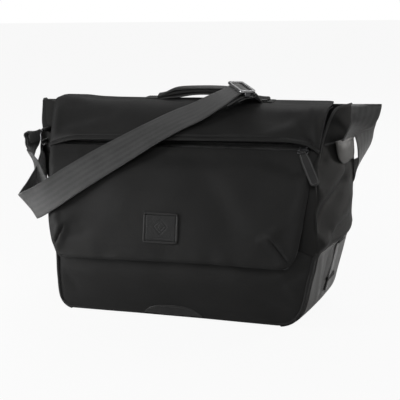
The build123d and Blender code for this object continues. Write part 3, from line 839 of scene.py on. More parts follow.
def upper_panel(name, right):
    """The panel that lines the top of a gusset, above its seam; its darker nylon is painted shade from the
    flap and strap.
    """
    w = np.linspace(0.02, 0.98, 60)[None]
    high = top_height(w) - 1.5
    z = high + (UPPER_SEAM - high) * np.linspace(0, 1, 30)[:, None]
    sign = 1 if right else -1
    p = side_point(z, w, right) + (sign * 1.9, 0, 0)
    return sheet_mesh(name, p if right else p[:, ::-1], 0.7, SHADED_UPPER_NYLON)


place(upper_panel("right_upper_panel", True), "body", "nylon")
place(upper_panel("left_upper_panel", False), "body", "nylon")

# Seams across the gussets where their upper panels start.
seam_w = np.linspace(0.03, 0.97, 50)
for right, name in ((True, "right_upper_seam"), (False, "left_upper_seam")):
    seam = side_point(UPPER_SEAM + 0 * seam_w, seam_w, right)
    seam[:, 0] += 2.2 if right else -2.2
    place(sweep(name, seam, (1, 0, 0), flat_section(2.6, 1.0, count=7), BINDING), "body", "binding")


# ---- Leather on the lower body -------------------------------------------------------------------
LEATHER_FOLDS = [
    ((-50, 84), (-30, 30), 7, 1.2), ((-10, 88), (10, 40), 10, 1.4), ((-24, 80), (-14, 30), 5, -1.0),
]


def gusset_leather(name, right):
    """The leather panel over the lower half of a gusset."""
    w = np.linspace(0.045, 0.955, 60)[None]
    waist = 99 + 2.5 * np.sin(math.pi * w)
    t = np.linspace(0, 1, 90)[:, None]
    z = waist + (7 - waist) * t
    p = side_point(z, w, right)
    sign = 1 if right else -1
    p[..., 0] += sign * (1.3 + folds(p[..., 1], p[..., 2], LEATHER_FOLDS))
    if not right:
        p = p[:, ::-1]
    return sheet_mesh(name, p, 1.5, GLOSSY_LEATHER)


place(gusset_leather("right_gusset_leather", True), "body", "leather", "right_gusset_leather")
place(gusset_leather("left_gusset_leather", False), "body", "leather", "left_gusset_leather")


def half_moon():
    """The half-moon leather patch at the foot of the front panel."""
    u = np.linspace(0, 1, 70)[None]
    x = -41 + 79 * u
    arch = np.clip(1 - np.abs((x + 2) / 39.5) ** 3.2, 0, 1)
    top = 5.6 + 12.4 * arch
    t = np.linspace(0, 1, 16)[:, None]
    z = top + (4.6 - top) * t
    y = np.interp(z, [0, 30], [-62.2, -68.6]) - 3.0 + 0.35 * waves(31, 5, 12, 40)(x, z)
    return np.stack(np.broadcast_arrays(x, y, z), -1)


FRONT_LOW = 1.2
moon = half_moon()
surface_front = front_grid(FRONT_LOW, MOUTH, 130, 190)


def front_surface_y(x, z):
    """How far out the front panel's face is at (x, z), read from its own grid."""
    rows, columns = surface_front.shape[:2]
    left, right = front_limits(z)
    u = (x - left) / (right - left) * (columns - 1)
    t = (MOUTH - z) / (MOUTH - FRONT_LOW) * (rows - 1)
    i = np.clip(np.round(t).astype(int), 0, rows - 1)
    j = np.clip(np.round(u).astype(int), 0, columns - 1)
    return surface_front[i, j, 1]


def evened(row, reach=2):
    """A row of values, each averaged with its neighbours."""
    count = 2 * reach + 1
    return np.convolve(np.pad(row, reach, "edge"), np.ones(count) / count, "valid")


moon[..., 1] = front_surface_y(moon[..., 0], moon[..., 2]) - 1.2
moon[..., 1] = np.apply_along_axis(evened, 1, moon[..., 1])
place(sheet_mesh("front_base_patch", moon, 1.2, LEATHER), "body", "leather", "front_base_patch")
moon_edge = moon[0] + (0, -1.3, -1.8)
place(stitches("front_base_stitches", moon_edge, (0, -1, 0.1), THREAD, 2.6, 1.8, 0.26), "body", "leather")


def side_strip(name, right):
    """Webbing strip down the gusset's leather, with its two cross bars; its lighter webbing is a painted rim
    highlight.
    """
    z = np.linspace(104, 30, 60)
    w = 0.60 + 0 * z
    path = side_point(z, w, right)
    sign = 1 if right else -1
    path[:, 0] += sign * 3.4
    out = (sign, 0, 0)
    strip = sweep(name, path, out, flat_section(25, 1.6, 3), LIT_STRIP_WEBBING)
    place(strip, "body", "webbing", name)
    for k, height in enumerate((99.5, 48)):
        bar = side_point(np.full(16, float(height)), np.linspace(0.49, 0.71, 16), right)
        bar[:, 0] += sign * 4.8
        place(sweep(f"{name}_bar_{k}", bar, out, flat_section(5.5, 1.6), BINDING), "body", "binding")
        for row in (-1.6, 1.6):
            line = bar + (sign * 0.9, 0, row)
            stitch_name = f"{name}_bar_stitch_{k}_{'ab'[row > 0]}"
            place(stitches(stitch_name, line, out, THREAD, 2.4, 1.7, 0.25), "body", "webbing")


side_strip("right_side_strip", True)
side_strip("left_side_strip", False)


# ---- Flap ----------------------------------------------------------------------------------------
flap_path = catmull(FLAP_SIDE, 30)
flap_s = lengths(flap_path)
flap_slope = np.gradient(flap_path, flap_s, axis=0)
flap_normals = np.stack([-flap_slope[:, 1], flap_slope[:, 0]], 1)


def on_flap(s):
    """(y, z) and outward (y, z) normal at a length s up the flap's side profile from its free edge."""
    y = np.interp(s, flap_s, flap_path[:, 0])
    z = np.interp(s, flap_s, flap_path[:, 1])
    ny = np.interp(s, flap_s, flap_normals[:, 0])
    nz = np.interp(s, flap_s, flap_normals[:, 1])
    return y, z, ny, nz


def s_at_height(z):
    """The length up the flap's side profile at which it reaches a height."""
    return np.interp(z, flap_path[:, 1], flap_s)


flap_wave = waves(17, 9, 60, 170)
FLAP_FOLDS = [
    ((-175, 190), (-140, 208), 6, 1.5), ((-172, 165), (-150, 178), 8, -1.0),
    ((-168, 122), (-142, 128), 7, 1.6), ((-158, 132), (-152, 108), 5, 1.6),
    ((-150, 104), (-120, 112), 8, -1.2), ((140, 128), (126, 118), 6, 1.8),
    ((150, 100), (120, 112), 9, -1.4), ((40, 190), (70, 150), 16, -1.6), ((95, 160), (120, 120), 18, 1.6),
    ((-60, 150), (-20, 170), 22, 1.0), ((-100, 96), (110, 98), 13, 1.5), ((158, 196), (176, 204), 6, -1.6),
    ((130, 206), (160, 200), 8, -1.4), ((-40, 210), (60, 206), 9, -1.0), ((165, 150), (172, 180), 7, 1.2)
]


def dart(x, z, top, foot, side):
    """A sewn corner dart: a sharp groove from top to foot, full on the side nearer the middle."""
    dx, dz = foot[0] - top[0], foot[1] - top[1]
    size = math.hypot(dx, dz)
    along = ((x - top[0]) * dx + (z - top[1]) * dz) / size
    off = ((x - top[0]) * -dz + (z - top[1]) * dx) / size * side
    window = step(-7, 5, along) * (1 - step(size - 2, size + 10, along))
    groove = -2.6 * bell(off, 1.5) * window
    pucker = 2.2 * bell(off - 4.5, 4.5) * window + 1.3 * bell(off + 5, 5) * window
    knot = 2.0 * bell(np.hypot(x - top[0], z - top[1] - 2), 6)
    return groove + pucker + knot


def flap_relief(x, z):
    """How far the flap's cloth stands off its plain profile: unevenness, creases and the two darts."""
    broad = 1.0 * flap_wave(x, z) + folds(x, z, FLAP_FOLDS)
    return broad + dart(x, z, (134, 117), (158, 88), 1) + dart(x, z, (-147, 118), (-161, 93), -1)


PROFILE_LOW = 80.2  # the flap's side profile starts just under this height


def flap_grid(rows, columns, s_top, depth, roll, relief):
    """Part of the flap's face, from its free edge up to a length s_top; rows go down, columns left to right.

    depth sinks it under the face, roll turns its sides in or out, and relief is its share of the creases.
    """
    u = np.linspace(0, 1, columns)[None]
    t = np.linspace(0, 1, rows)[:, None]
    x_guess = -160 + 318 * u
    low_edge = free_edge(x_guess)
    s_low = s_at_height(np.maximum(low_edge, PROFILE_LOW)) + np.minimum(low_edge - PROFILE_LOW, 0)
    s = s_top + (s_low - s_top) * t
    y, z, ny, nz = on_flap(np.maximum(s, 0))
    z = z + np.minimum(s, 0)
    left, right = flap_left(z), flap_right(z)
    x = left + (right - left) * u
    side, up = np.minimum(x - left, right - x), s - s_low
    edge = np.minimum(side, up)
    if relief:
        foot = 3.3 * bell(up, 9) * step(0, 14, side) - 1.5 * bell(up, 1.5)
        soft = relief * flap_relief(x, z) * step(0, 9, edge)
    else:
        foot = (roll + 1.6) * bell(up, 3.2)
        soft = 0
    lift = -depth + roll * bell(side, 3.2) + foot + soft
    lip_wave = 0.5 * waves(41, 5, 18, 50)(x, 0 * x) * bell(s - s_low, 14)
    return np.stack([x, y + ny * (lift + lip_wave), z + nz * (lift + lip_wave)], -1)


PANEL_TOP = float(s_at_height(219.4))
panel_grid = flap_grid(140, 250, PANEL_TOP, 0.0, -2.6, 1.0)
place(sheet_mesh("flap_front_panel", panel_grid, 1.1, NYLON), "flap", "nylon", "flap_front_panel")
lining_grid = flap_grid(120, 120, float(flap_s[-1]) - 1.0, 7.2, 3.2, 0.0)[:, ::-1]
place(sheet_mesh("flap_lining", lining_grid, 0.8, LINING), "flap", "lining", "flap_lining")

# Placket: the flap's upper panel, whose hemmed lip hangs over the zip. Its cloth is also the flap's hinge.
placket_path = catmull(PLACKET_SIDE, 30)
placket_s = lengths(placket_path)
placket_slope = np.gradient(placket_path, placket_s, axis=0)
placket_n = np.stack([-placket_slope[:, 1], placket_slope[:, 0]], 1)
placket_wave = waves(23, 9, 50, 150)
PLACKET_FOLDS = [
    ((-168, 232), (-128, 243), 7, 1.9), ((-160, 248), (-110, 256), 10, -2.0),
    ((-178, 236), (-182, 262), 5, 1.6), ((-140, 236), (-96, 240), 8, -1.2),
    ((-120, 262), (-60, 250), 12, 1.0), ((120, 236), (160, 252), 8, 1.9), ((128, 232), (166, 236), 5, -2.0),
    ((160, 246), (182, 228), 6, -2.2), ((172, 262), (184, 232), 5, 2.2), ((80, 262), (130, 256), 12, -1.2),
    ((20, 250), (80, 240), 16, 0.9), ((140, 266), (176, 264), 7, 1.4)
]


def placket_grid(rows=120, columns=230):
    """The placket's grid from the back's seam down to its lip, and its upward vectors."""
    u = np.linspace(0, 1, columns)[None]
    t = np.linspace(0, 1, rows)[:, None]
    x_guess = -186 + 374 * u
    rising = placket_path[: np.argmax(placket_path[:, 1]) + 1]
    s_low = np.interp(lip_height(x_guess), rising[:, 1], placket_s[: len(rising)])
    s = placket_s[-1] + (s_low - placket_s[-1]) * t
    y = np.interp(s, placket_s, placket_path[:, 0])
    z = np.interp(s, placket_s, placket_path[:, 1])
    ny = np.interp(s, placket_s, placket_n[:, 0])
    nz = np.interp(s, placket_s, placket_n[:, 1])
    behind = step(60, 66, y)
    left = flap_left(np.minimum(z + 2, 275)) + 1.5 * behind
    right = flap_right(np.minimum(z + 2, 275)) - 1.5 * behind
    x = left + (right - left) * u
    side = np.minimum(x - left, right - x)
    up = s - s_low
    lie = -6.0 * (1 - step(0, 42, side)) * bell(up, 30)
    hem = 0.5 * bell(up - 1.8, 1.8) - 0.55 * bell(up - 5.6, 0.9) + 0.3 * bell(up - 8, 2)
    soft = 0.9 * placket_wave(x, z) + folds(x, z, PLACKET_FOLDS)
    soft = soft * step(0, 12, up) * step(0, 8, side) * (1 - step(40, 58, y))
    sag = -0.9 * step(20, 40, y) * (1 - step(52, 60, y)) * (0.5 + 0.5 * np.sin(x / 27.0))
    ridge = 2.4 * step(-135, -165, x) - 3.1 * step(40, 110, x)
    ridge = ridge - 0.9 * step(-140, -110, x) * (1 - step(-40, 0, x))
    sag = sag + ridge * step(10, 30, y) * (1 - step(56, 66, y))
    lift = lie + hem + soft + sag - (2.6 - 1.9 * step(8, 28, y)) * bell(side, 3.4) * (1 - behind)
    return np.stack([x, y + ny * lift, z + nz * lift], -1), np.stack(np.broadcast_arrays(0 * x, ny, nz), -1)


placket_mesh_grid, placket_up = placket_grid()
placket = sheet_mesh("flap_placket", placket_mesh_grid, 1.6, NYLON)
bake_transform(placket)
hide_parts("flap_placket")

# A folded hem under the lip, and its stitch line.
hem_row = placket_mesh_grid[-1] + (0, 2.4, 1.2)
hem = sweep("placket_hem", hem_row[4:-4], (0, -0.735, 0.678), flat_section(5, 1.5, count=9), NYLON)
place(hem, "flap", "nylon")


def row_at(grid, ups, distance):
    """The grid's line that lies a given length above its last row."""
    back = lengths(grid[::-1, grid.shape[1] // 2])
    k = int(np.searchsorted(back, distance))
    return grid[-1 - k], ups[-1 - k]


hem_line, hem_up = row_at(placket_mesh_grid, placket_up, 5.6)
hem_top = hem_line + hem_up * 1.55
hem_thread = stitches("placket_hem_stitches", hem_top[3:-3], hem_up[3:-3], DARK_THREAD, 3.0, 2.2, 0.3, 0.05)
place(hem_thread, "flap", "nylon")

# ---- Zip -----------------------------------------------------------------------------------------
ZIP_AT = np.array([0, -23.8, 222.0])
ZIP_NORMAL = np.array([0, -0.735, 0.678])
ZIP_UP = np.array([0, 0.678, 0.735])
X_AXIS, Y_AXIS = np.array([1.0, 0, 0]), np.array([0, 1.0, 0])
for k, across in enumerate((-4.6, 4.6)):
    x = np.linspace(-176, 176, 120)
    line = ZIP_AT + np.outer(x, X_AXIS) + ZIP_UP * across + ZIP_NORMAL * -3.0
    tape = sweep(f"zip_tape_{k}", line, ZIP_NORMAL, flat_section(7.8, 0.7, count=9), BINDING)
    place(tape, "flap", "zip_tape", *(["zip_tapes"] if k == 0 else []))


def teeth_mesh():
    """Both rows of moulded teeth, meeting along the middle of the zip."""
    verts, faces = [], []
    box = [(0, 0), (1.15, 0), (1.15, 1), (0, 1)]
    for k in range(210):
        x = -171 + k * 1.63
        for side, shift in ((1, 0.0), (-1, 0.82)):
            start = len(verts)
            for height in (-2.5, -1.15):
                shrink = 0.12 if height > -2 else 0.0
                for dx, dy in box:
                    px = x + shift + shrink + dx * (1 - 2 * shrink)
                    py = side * (-0.35 + dy * 3.0)
                    verts.append(ZIP_AT + X_AXIS * px + ZIP_UP * py + ZIP_NORMAL * height)
            ring = [(0, 1, 5, 4), (1, 2, 6, 5), (2, 3, 7, 6), (3, 0, 4, 7), (4, 5, 6, 7), (3, 2, 1, 0)]
            for f in ring:
                ids = [start + q for q in f]
                faces.append(ids if side > 0 else ids[::-1])
    return add_object("zip_teeth", verts, faces, TEETH, smooth=False)


place(teeth_mesh(), "flap", "zip_teeth", "zip_teeth")
for k, x in enumerate((-174, 174)):
    plane = (ZIP_AT + X_AXIS * x, X_AXIS, ZIP_UP)
    stop = plate(f"zip_stop_{k}", rounded_box(3, 6, 0.8), plane, -2.7, -0.6, TEETH)
    place(stop, "flap", "zip_teeth", *(["zip_stops"] if k == 0 else []))

SLIDER = ZIP_AT + X_AXIS * 165
HINGE = -3.8  # how far down the zip's cross direction the ring hinges on the slider
HIGH = 3.4  # and how far off the zip
TILT = math.radians(27)  # how far the tab hangs to the right
DIP = math.radians(4.5)  # and how far it leans in to the flap
slider_plane = (SLIDER, X_AXIS, ZIP_UP)
wing = [
    (-4.2, 4.2), (-5.0, 1.5), (-4.6, -2.4), (-3.4, -4.2), (3.4, -4.2), (4.6, -2.4), (5.0, 1.5), (4.2, 4.2),
    (1.2, 3.2), (-1.2, 3.2)
]
slider_body = plate("zip_slider_body", wing, slider_plane, -0.8, 0.5, METAL, round_by=0.35)
place(slider_body, "zip_slider", "dark_metal", "zip_slider_body")
place(plate("zip_slider_foot", wing, slider_plane, -4.2, -3.3, METAL), "zip_slider", "dark_metal")
stem_box = rounded_box(2.6, 3.4, 0.8, (0, 2.2))
place(plate("zip_slider_stem", stem_box, slider_plane, -3.4, -0.7, METAL), "zip_slider", "dark_metal")
for k, x in enumerate((-4.1, 4.1)):
    lug_plane = (SLIDER + X_AXIS * x, ZIP_UP, ZIP_NORMAL)
    lug = rounded_box(6.8, 4.8, 2.0, (HINGE + 1.5, 2.7))
    hole = round_section(1.35, 16) + (HINGE, HIGH)
    place(plate(f"zip_slider_lug_{k}", lug, lug_plane, -0.8, 0.8, METAL, [hole]), "zip_slider", "dark_metal")

corners = rounded_box(12.6, 4.8, 1.5, (0, HINGE - 1.8), 5)
ring_path = SLIDER + ZIP_NORMAL * HIGH + corners[:, :1] * X_AXIS + corners[:, 1:] * ZIP_UP
pull_ring = sweep("zip_pull_ring", ring_path, ZIP_NORMAL, round_section(0.8, 12), METAL, closed=True)
place(pull_ring, "zip_link", "dark_metal", "zip_pull_ring")

BAR = SLIDER + ZIP_NORMAL * HIGH + ZIP_UP * (HINGE - 4.0)
tab_x = X_AXIS * math.cos(TILT) + ZIP_UP * math.sin(TILT)
tab_y = (ZIP_UP * math.cos(TILT) - X_AXIS * math.sin(TILT)) * math.cos(DIP) + ZIP_NORMAL * math.sin(DIP)
tab_face = np.cross(tab_x, tab_y)


def pull_tab():
    """The leather pull, a folded strip with a rounded end, thicker down its middle; also its stitch line."""
    rows, columns = 60, 17
    t = np.linspace(0, 1, rows)[:, None]
    u = np.linspace(-1, 1, columns)[None]
    down = -1.6 - 46.8 * t
    half = 5.9 * np.sqrt(np.clip(1 - np.clip((-down - 42.5) / 5.9, 0, 1) ** 2, 0.02, 1))
    half = half * (0.86 + 0.14 * step(0, 0.25, t))
    across = u * half
    height = 1.15 * (1 - 0.28 * np.abs(u) ** 3) - 0.28 * bell(np.abs(across) - half + 1.5, 0.5)
    flat = BAR + across[..., None] * tab_x + down[..., None] * tab_y
    top = flat + height[..., None] * tab_face
    bottom = flat - height[..., None] * tab_face
    n, m = rows, columns
    ring = np.concatenate([top[:, ::-1], bottom], 1)
    verts = ring.reshape(-1, 3)
    faces = [tuple(f) for f in grid_faces(n, 2 * m, wrap=True)]
    faces.append(tuple(range(2 * m)))
    faces.append(tuple((n - 1) * 2 * m + np.arange(2 * m)[::-1]))
    obj = add_object("zip_pull_tab", verts, faces, LEATHER, cloth_coords(ring))
    edge_x = np.concatenate([-half[:, 0] + 1.5, half[::-1, 0] - 1.5])
    edge_y = np.concatenate([down[:, 0], down[::-1, 0]])
    edge = np.stack([edge_x, edge_y], 1)
    keep = (np.abs(edge_x) > 0.6) & (edge_y > -46.4)
    line = BAR + edge[keep, :1] * tab_x + edge[keep, 1:] * tab_y + tab_face * 0.95
    return obj, line


tab_obj, tab_line = pull_tab()
place(tab_obj, "zip_pull", "leather", "zip_pull_tab")
pull_thread = stitches("zip_pull_stitches", tab_line, tab_face, PALE_THREAD, 2.4, 1.8, 0.36, 0.15)
place(pull_thread, "zip_pull", "leather")
LOOP_RADIUS = 2.1
loop_angles = np.linspace(-math.radians(120), math.radians(120), 20)
loop_around = [ZIP_UP * math.cos(a) + ZIP_NORMAL * math.sin(a) for a in loop_angles]
loop_path = BAR + LOOP_RADIUS * np.stack(loop_around)
loop_section = flat_section(8.4, 0.9, count=9)[:, ::-1] * (1, -1)
place(sweep("zip_pull_loop", loop_path, X_AXIS, loop_section, LEATHER), "zip_pull", "leather")


# ---- Leather patch on the flap -------------------------------------------------------------------
def flap_point(x, z, off=0.0):
    """A point of the flap's relief surface, and its normal, for things sewn on it."""
    y, zz, ny, nz = on_flap(s_at_height(z))
    lift = flap_relief(x, z) + off
    return np.stack(np.broadcast_arrays(x, y + ny * lift, zz + nz * lift), -1)


PATCH_WIDE, PATCH_HIGH = 46.0, 36.5
PATCH_X, PATCH_Z = -10.2, 123.6
PATCH_ROWS, PATCH_COLUMNS = 60, 70
SEAM_IN = 2.4  # how far the patch's seam lies inside its edge


def patch_grid():
    """The patch's face: a rim, a sewn channel, and an embossed double lozenge over a bar."""
    u = np.linspace(-1, 1, PATCH_COLUMNS)[None]
    v = np.linspace(1, -1, PATCH_ROWS)[:, None]
    # squeeze the corners of the grid onto rounded ones
    squeeze = 0.045 * (np.abs(u) ** 8) * (np.abs(v) ** 8)
    across = PATCH_WIDE / 2 * u * (1 - squeeze)
    up = PATCH_HIGH / 2 * v * (1 - squeeze)
    x, z = PATCH_X + across, PATCH_Z + up
    base = flap_point(0 * x + PATCH_X, z, 1.35)
    base[..., 0] = x
    relief = 0.35 * (flap_relief(x, z) - flap_relief(0 * x + PATCH_X, z))
    inside = np.minimum(PATCH_WIDE / 2 - np.abs(across), PATCH_HIGH / 2 - np.abs(up))
    channel = 0.3 * bell(inside - 0.7, 0.8) - 0.4 * bell(inside - SEAM_IN, 0.7)
    lozenge = (np.abs(across) + np.abs(up - 1.5)) / 9.0
    mark = -0.32 * bell(lozenge - 1.0, 0.09) - 0.3 * bell(lozenge - 0.5, 0.09)
    bars = -0.25 * bell(up + 12.0, 0.55) * (np.abs(across) < 12)
    base[..., 1] -= relief + channel + mark + bars
    return base


patch = patch_grid()
place(sheet_mesh("leather_patch", patch, 1.3, PATCH_LEATHER), "flap", "leather", "leather_patch")
border = rounded_box(PATCH_WIDE - 2 * SEAM_IN, PATCH_HIGH - 2 * SEAM_IN, 1.2, (PATCH_X, PATCH_Z), 3)
border_line = even(np.vstack([border, border[:1]]), 300)
share_down = (PATCH_Z + PATCH_HIGH / 2 - border_line[:, 1]) / PATCH_HIGH
share_across = (border_line[:, 0] - PATCH_X + PATCH_WIDE / 2) / PATCH_WIDE
patch_row = np.clip(np.round(share_down * (PATCH_ROWS - 1)).astype(int), 0, PATCH_ROWS - 1)
patch_column = np.clip(np.round(share_across * (PATCH_COLUMNS - 1)).astype(int), 0, PATCH_COLUMNS - 1)
on_patch = patch[patch_row, patch_column] + (0, -1.25, 0.34)
patch_thread = stitches("patch_stitches", on_patch, (0, -0.965, 0.263), BLACK_THREAD, 2.3, 1.4, 0.55, 0.1)
place(patch_thread, "flap", "leather")


# ---- Handle --------------------------------------------------------------------------------------
HANDLE_Y = 56.0
HANDLE_HALF = 12.0  # half of its width
UPPER = "handle_upper_leather"
# How far each layer's middle stands above its sides, and how far the layers part near the left end.
HANDLE_CROWN = {"handle_lower_leather": 5.5, "handle_core": 4.0, "handle_upper_leather": 2.0}
HANDLE_SPREAD = {"handle_lower_leather": -2.0, "handle_core": -0.5, "handle_upper_leather": 0.9}
arch = even([
    (-53, 274.4), (-46, 275.4), (-31, 278.6), (-9, 281.2), (17, 282.2), (44, 281.3), (64, 277.8),
    (79, 273.6), (92, 271.6), (100, 271.3)
], 110)
handle_line = np.stack([arch[:, 0], np.full(len(arch), HANDLE_Y), arch[:, 1]], 1)
handle_swell = 0.25 + 0.75 * step(-53, -26, arch[:, 0]) * (1 - step(60, 86, arch[:, 0]))
handle_left = bell(arch[:, 0] + 24, 17)
for name, rise, width, thick, material, slot in (
    ("handle_lower_leather", 0.0, 24.0, 2.0, LEATHER, "leather"),
    ("handle_core", 1.9, 22.6, 3.4, BINDING, "stiffener"),
    ("handle_upper_leather", 5.2, 24.0, 2.0, LEATHER, "leather"),
):
    height = rise * handle_swell + thick / 2 + HANDLE_SPREAD[name] * handle_left
    lift_line = handle_line + np.outer(height, [0, 0, 1])
    section = flat_section(width, thick, count=21)
    section[:, 1] += HANDLE_CROWN[name] * (0.3 - (section[:, 0] / HANDLE_HALF) ** 2)
    place(sweep(name, lift_line, (0, 0, 1), section, material), "handle", slot, name)
for k, across in enumerate((-9.6, 9.6)):
    over = 2.05 + HANDLE_CROWN[UPPER] * (0.3 - (across / HANDLE_HALF) ** 2)
    rise = 5.2 * handle_swell + HANDLE_SPREAD[UPPER] * handle_left
    row = (handle_line + (0, across, over) + np.outer(rise, [0, 0, 1]))[4:-4]
    place(stitches(f"handle_stitches_{k}", row, (0, 0, 1), DARK_THREAD, 3.0, 2.2, 0.3), "handle", "leather")
for k, (x, sign) in enumerate(((-62, -1), (98, 1))):
    box = rounded_box(22, 26, 3.5, (x, 53.0))
    drop = 2.4 * k  # the ridge is lower at the right tab
    tab_plane = ((0, 0, 272.2 - drop), X_AXIS, Y_AXIS)
    tab = plate(f"handle_tab_{k}", box, tab_plane, 0.1, 1.5, LEATHER, round_by=0.5)
    place(tab, "flap", "leather", *(["handle_tabs"] if k == 0 else []))
    inner_box = rounded_box(18, 22, 2.4, (x, 53.0), 3)
    line = even(np.vstack([inner_box, inner_box[:1]]), 120)
    path = np.stack([line[:, 0], line[:, 1], np.full(len(line), 273.75 - drop)], 1)
    tab_thread = stitches(f"handle_tab_stitches_{k}", path, (0, 0, 1), DARK_THREAD, 2.8, 2.0, 0.28)
    place(tab_thread, "flap", "leather")


# ---- Shoulder strap ------------------------------------------------------------------------------
STRAP = 38.0
SPAN = unit([0.617, -0.776, -0.16])
RUN = unit([0.78, 0.62, -0.08])
FACE = unit(np.cross(SPAN, RUN))
SPAN = np.cross(RUN, FACE)
ADJUSTER = np.array([71.3, 26, 290.0])


def ribbon(name, stations, width=STRAP, lift=0.0, wobble=0.0):
    """A strap along (point, edge direction) stations: its width turns smoothly from one to the next."""
    points = np.array([s[0] for s in stations], float)
    edges = unit(np.array([s[1] for s in stations], float))
    both = catmull(np.hstack([points, edges]), 16)
    s = lengths(both[:, :3])
    at = np.linspace(0, s[-1], max(24, int(s[-1] / 2.2)))
    both = np.stack([np.interp(at, s, both[:, k]) for k in range(6)], 1)
    path = both[:, :3]
    up = unit(np.cross(np.gradient(path, axis=0), both[:, 3:]))
    path = path + up * (lift + wobble * np.sin(at / 31.0) * np.sin(math.pi * at / at[-1]))[:, None]
    return sweep(name, path, up, flat_section(width, 1.7, 5), WEBBING)


TOP_EDGE = ADJUSTER + RUN * 11
over_top = ribbon("strap_over_top", [
    ((88, 75.5, 238), (1, 0, 0)), ((84.5, 74.5, 257), (1, 0, 0)), ((81, 67.5, 268.6), (1, -0.05, 0)),
    ((79, 58, 272.8), (1, -0.12, 0)), ((79, 49, 276.5), (0.93, -0.35, -0.14)),
    ((81.5, 40.5, 282.4), (0.76, -0.6, -0.25)), (TOP_EDGE + RUN - FACE, SPAN),
    (TOP_EDGE - RUN * 4, SPAN)
])
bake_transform(over_top)
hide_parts("strap_over_top")

FRONT_WIDTH = 41.0
# centre points, and the way to the strap's lower edge
FRONT = [
    (TOP_EDGE - FACE * 1.6, SPAN), (ADJUSTER + RUN + FACE * 1.8, SPAN),
    (ADJUSTER - RUN * 10 - FACE * 2, SPAN), ((51.5, 12.3, 281.2), (0.60, -0.77, -0.23)),
    ((36, 5, 272.6), (0.57, -0.75, -0.34)), ((18, -3.4, 262.6), (0.54, -0.73, -0.42)),
    ((-8.7, -12.5, 251.6), (0.52, -0.70, -0.49)), ((-38.6, -27.6, 236.6), (0.55, -0.62, -0.54)),
    ((-70, -39.8, 218.6), (0.56, -0.52, -0.65)), ((-101.6, -51.4, 200.3), (0.56, -0.39, -0.73)),
    ((-140, -64.5, 177), (0.54, -0.30, -0.79)), ((-165, -72.5, 161), (0.58, -0.18, -0.79)),
    ((-184, -75.5, 149.8), (0.64, -0.1, -0.76)), ((-195.2, -74.2, 144.6), (0.68, -0.04, -0.73)),
    ((-200.2, -69.5, 142.6), (0.68, 0, -0.73)), ((-200.5, -64, 142.4), (0.68, 0, -0.73))
]
outer = ribbon("strap_front_outer", FRONT, width=FRONT_WIDTH, wobble=0.5)
place(outer, "flap", "webbing", "strap_front_outer")
inner = ribbon("strap_front_inner", FRONT[9:13], lift=-2.4)
place(inner, "flap", "webbing", "strap_front_inner")

# edge directions run from the nearer edge to the farther one
near = ribbon("strap_left_near", [
    ((-229, 22, 213), (0.06, 0.99, -0.1)), ((-230, 22, 220), (0.06, 1, -0.04)),
    ((-232.3, 22, 227), (0.02, 1, -0.1)), ((-235.6, 21, 222), (0.13, 0.98, -0.13)),
    ((-235, 18, 214), (0.11, 0.97, -0.2)), ((-235.5, 13, 205), (-0.1, 0.98, -0.19)),
    ((-232.3, 7, 195), (-0.36, 0.91, -0.2)), ((-224.5, -1, 188), (-0.46, 0.866, -0.195)),
    ((-217, -12, 182), (-0.53, 0.83, -0.18)), ((-209, -24, 176), (-0.64, 0.75, -0.16)),
    ((-201, -36, 168), (-0.73, 0.67, -0.16)), ((-193, -48, 161), (-0.76, 0.62, -0.16)),
    ((-186, -62, 155), (-0.8, 0.4, -0.4))
])
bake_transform(near)
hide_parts("strap_left_near")
far = ribbon("strap_left_far", [
    ((-224, 30, 216), (-0.35, 0.93, -0.14)), ((-222.5, 26, 203), (-0.33, 0.93, -0.15)),
    ((-218.5, 18, 190), (-0.29, 0.93, -0.23)), ((-214, 6, 179), (-0.15, 0.87, -0.47)),
    ((-209, -10, 172), (-0.08, 0.8, -0.6)), ((-205, -28, 165), (0.04, 0.69, -0.73)),
    ((-201.5, -46, 157.5), (0.24, 0.58, -0.78)), ((-200.5, -62.5, 147), (0.62, 0.12, -0.78))
])
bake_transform(far)
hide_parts("strap_left_far")

rise = ribbon("strap_right_rise", [
    ((205.5, 28, 208), (0.08, 0.98, -0.19)), ((206.5, 28.5, 219), (0.08, 0.98, -0.18)),
    ((212.5, 29.5, 229.5), (0.16, 0.98, -0.15)), ((220, 30, 239), (0.36, 0.92, -0.15)),
    ((228, 30, 248), (0.72, 0.68, -0.1)), ((232, 31, 258.5), (0.87, 0.48, -0.06)),
    ((233, 33.5, 266.8), (0.93, 0.3, -0.02)), ((232.5, 38, 270.4), (1, 0.1, 0))
])
place(rise, "body", "webbing", "strap_right_rise")
rear = ribbon("strap_rear", [
    ((232.5, 37, 270.6), (1, 0.1, 0)), ((232.3, 44, 268.3), (0.97, 0.25, -0.03)),
    ((231.3, 50, 259.5), (0.88, 0.47, -0.06)), ((229, 55, 246), (0.7, 0.7, -0.08)),
    ((228, 59, 232), (0.52, 0.84, -0.12)), ((228, 62, 218), (0.35, 0.93, -0.13)),
    ((226, 65, 205), (0.15, 0.98, -0.17)), ((222.3, 68.5, 193), (-0.1, 0.97, -0.2)),
    ((215.5, 73, 182.5), (-0.38, 0.92, -0.12)), ((207, 78, 172.5), (-0.6, 0.8, 0)),
    ((196, 82.5, 163.5), (-0.62, 0.78, 0.1)), ((177, 87, 153.5), (-0.35, 0.93, 0.1)),
    ((150, 89.5, 149), (0, 1, 0)), ((123, 87, 160), (0.35, 0.93, 0)), ((100, 81.5, 187), (0.8, 0.6, 0)),
    ((91, 76.8, 216), (0.97, 0.2, 0)), ((87.7, 75.4, 241), (1, 0, 0))
])
place(rear, "body", "webbing", "strap_rear")

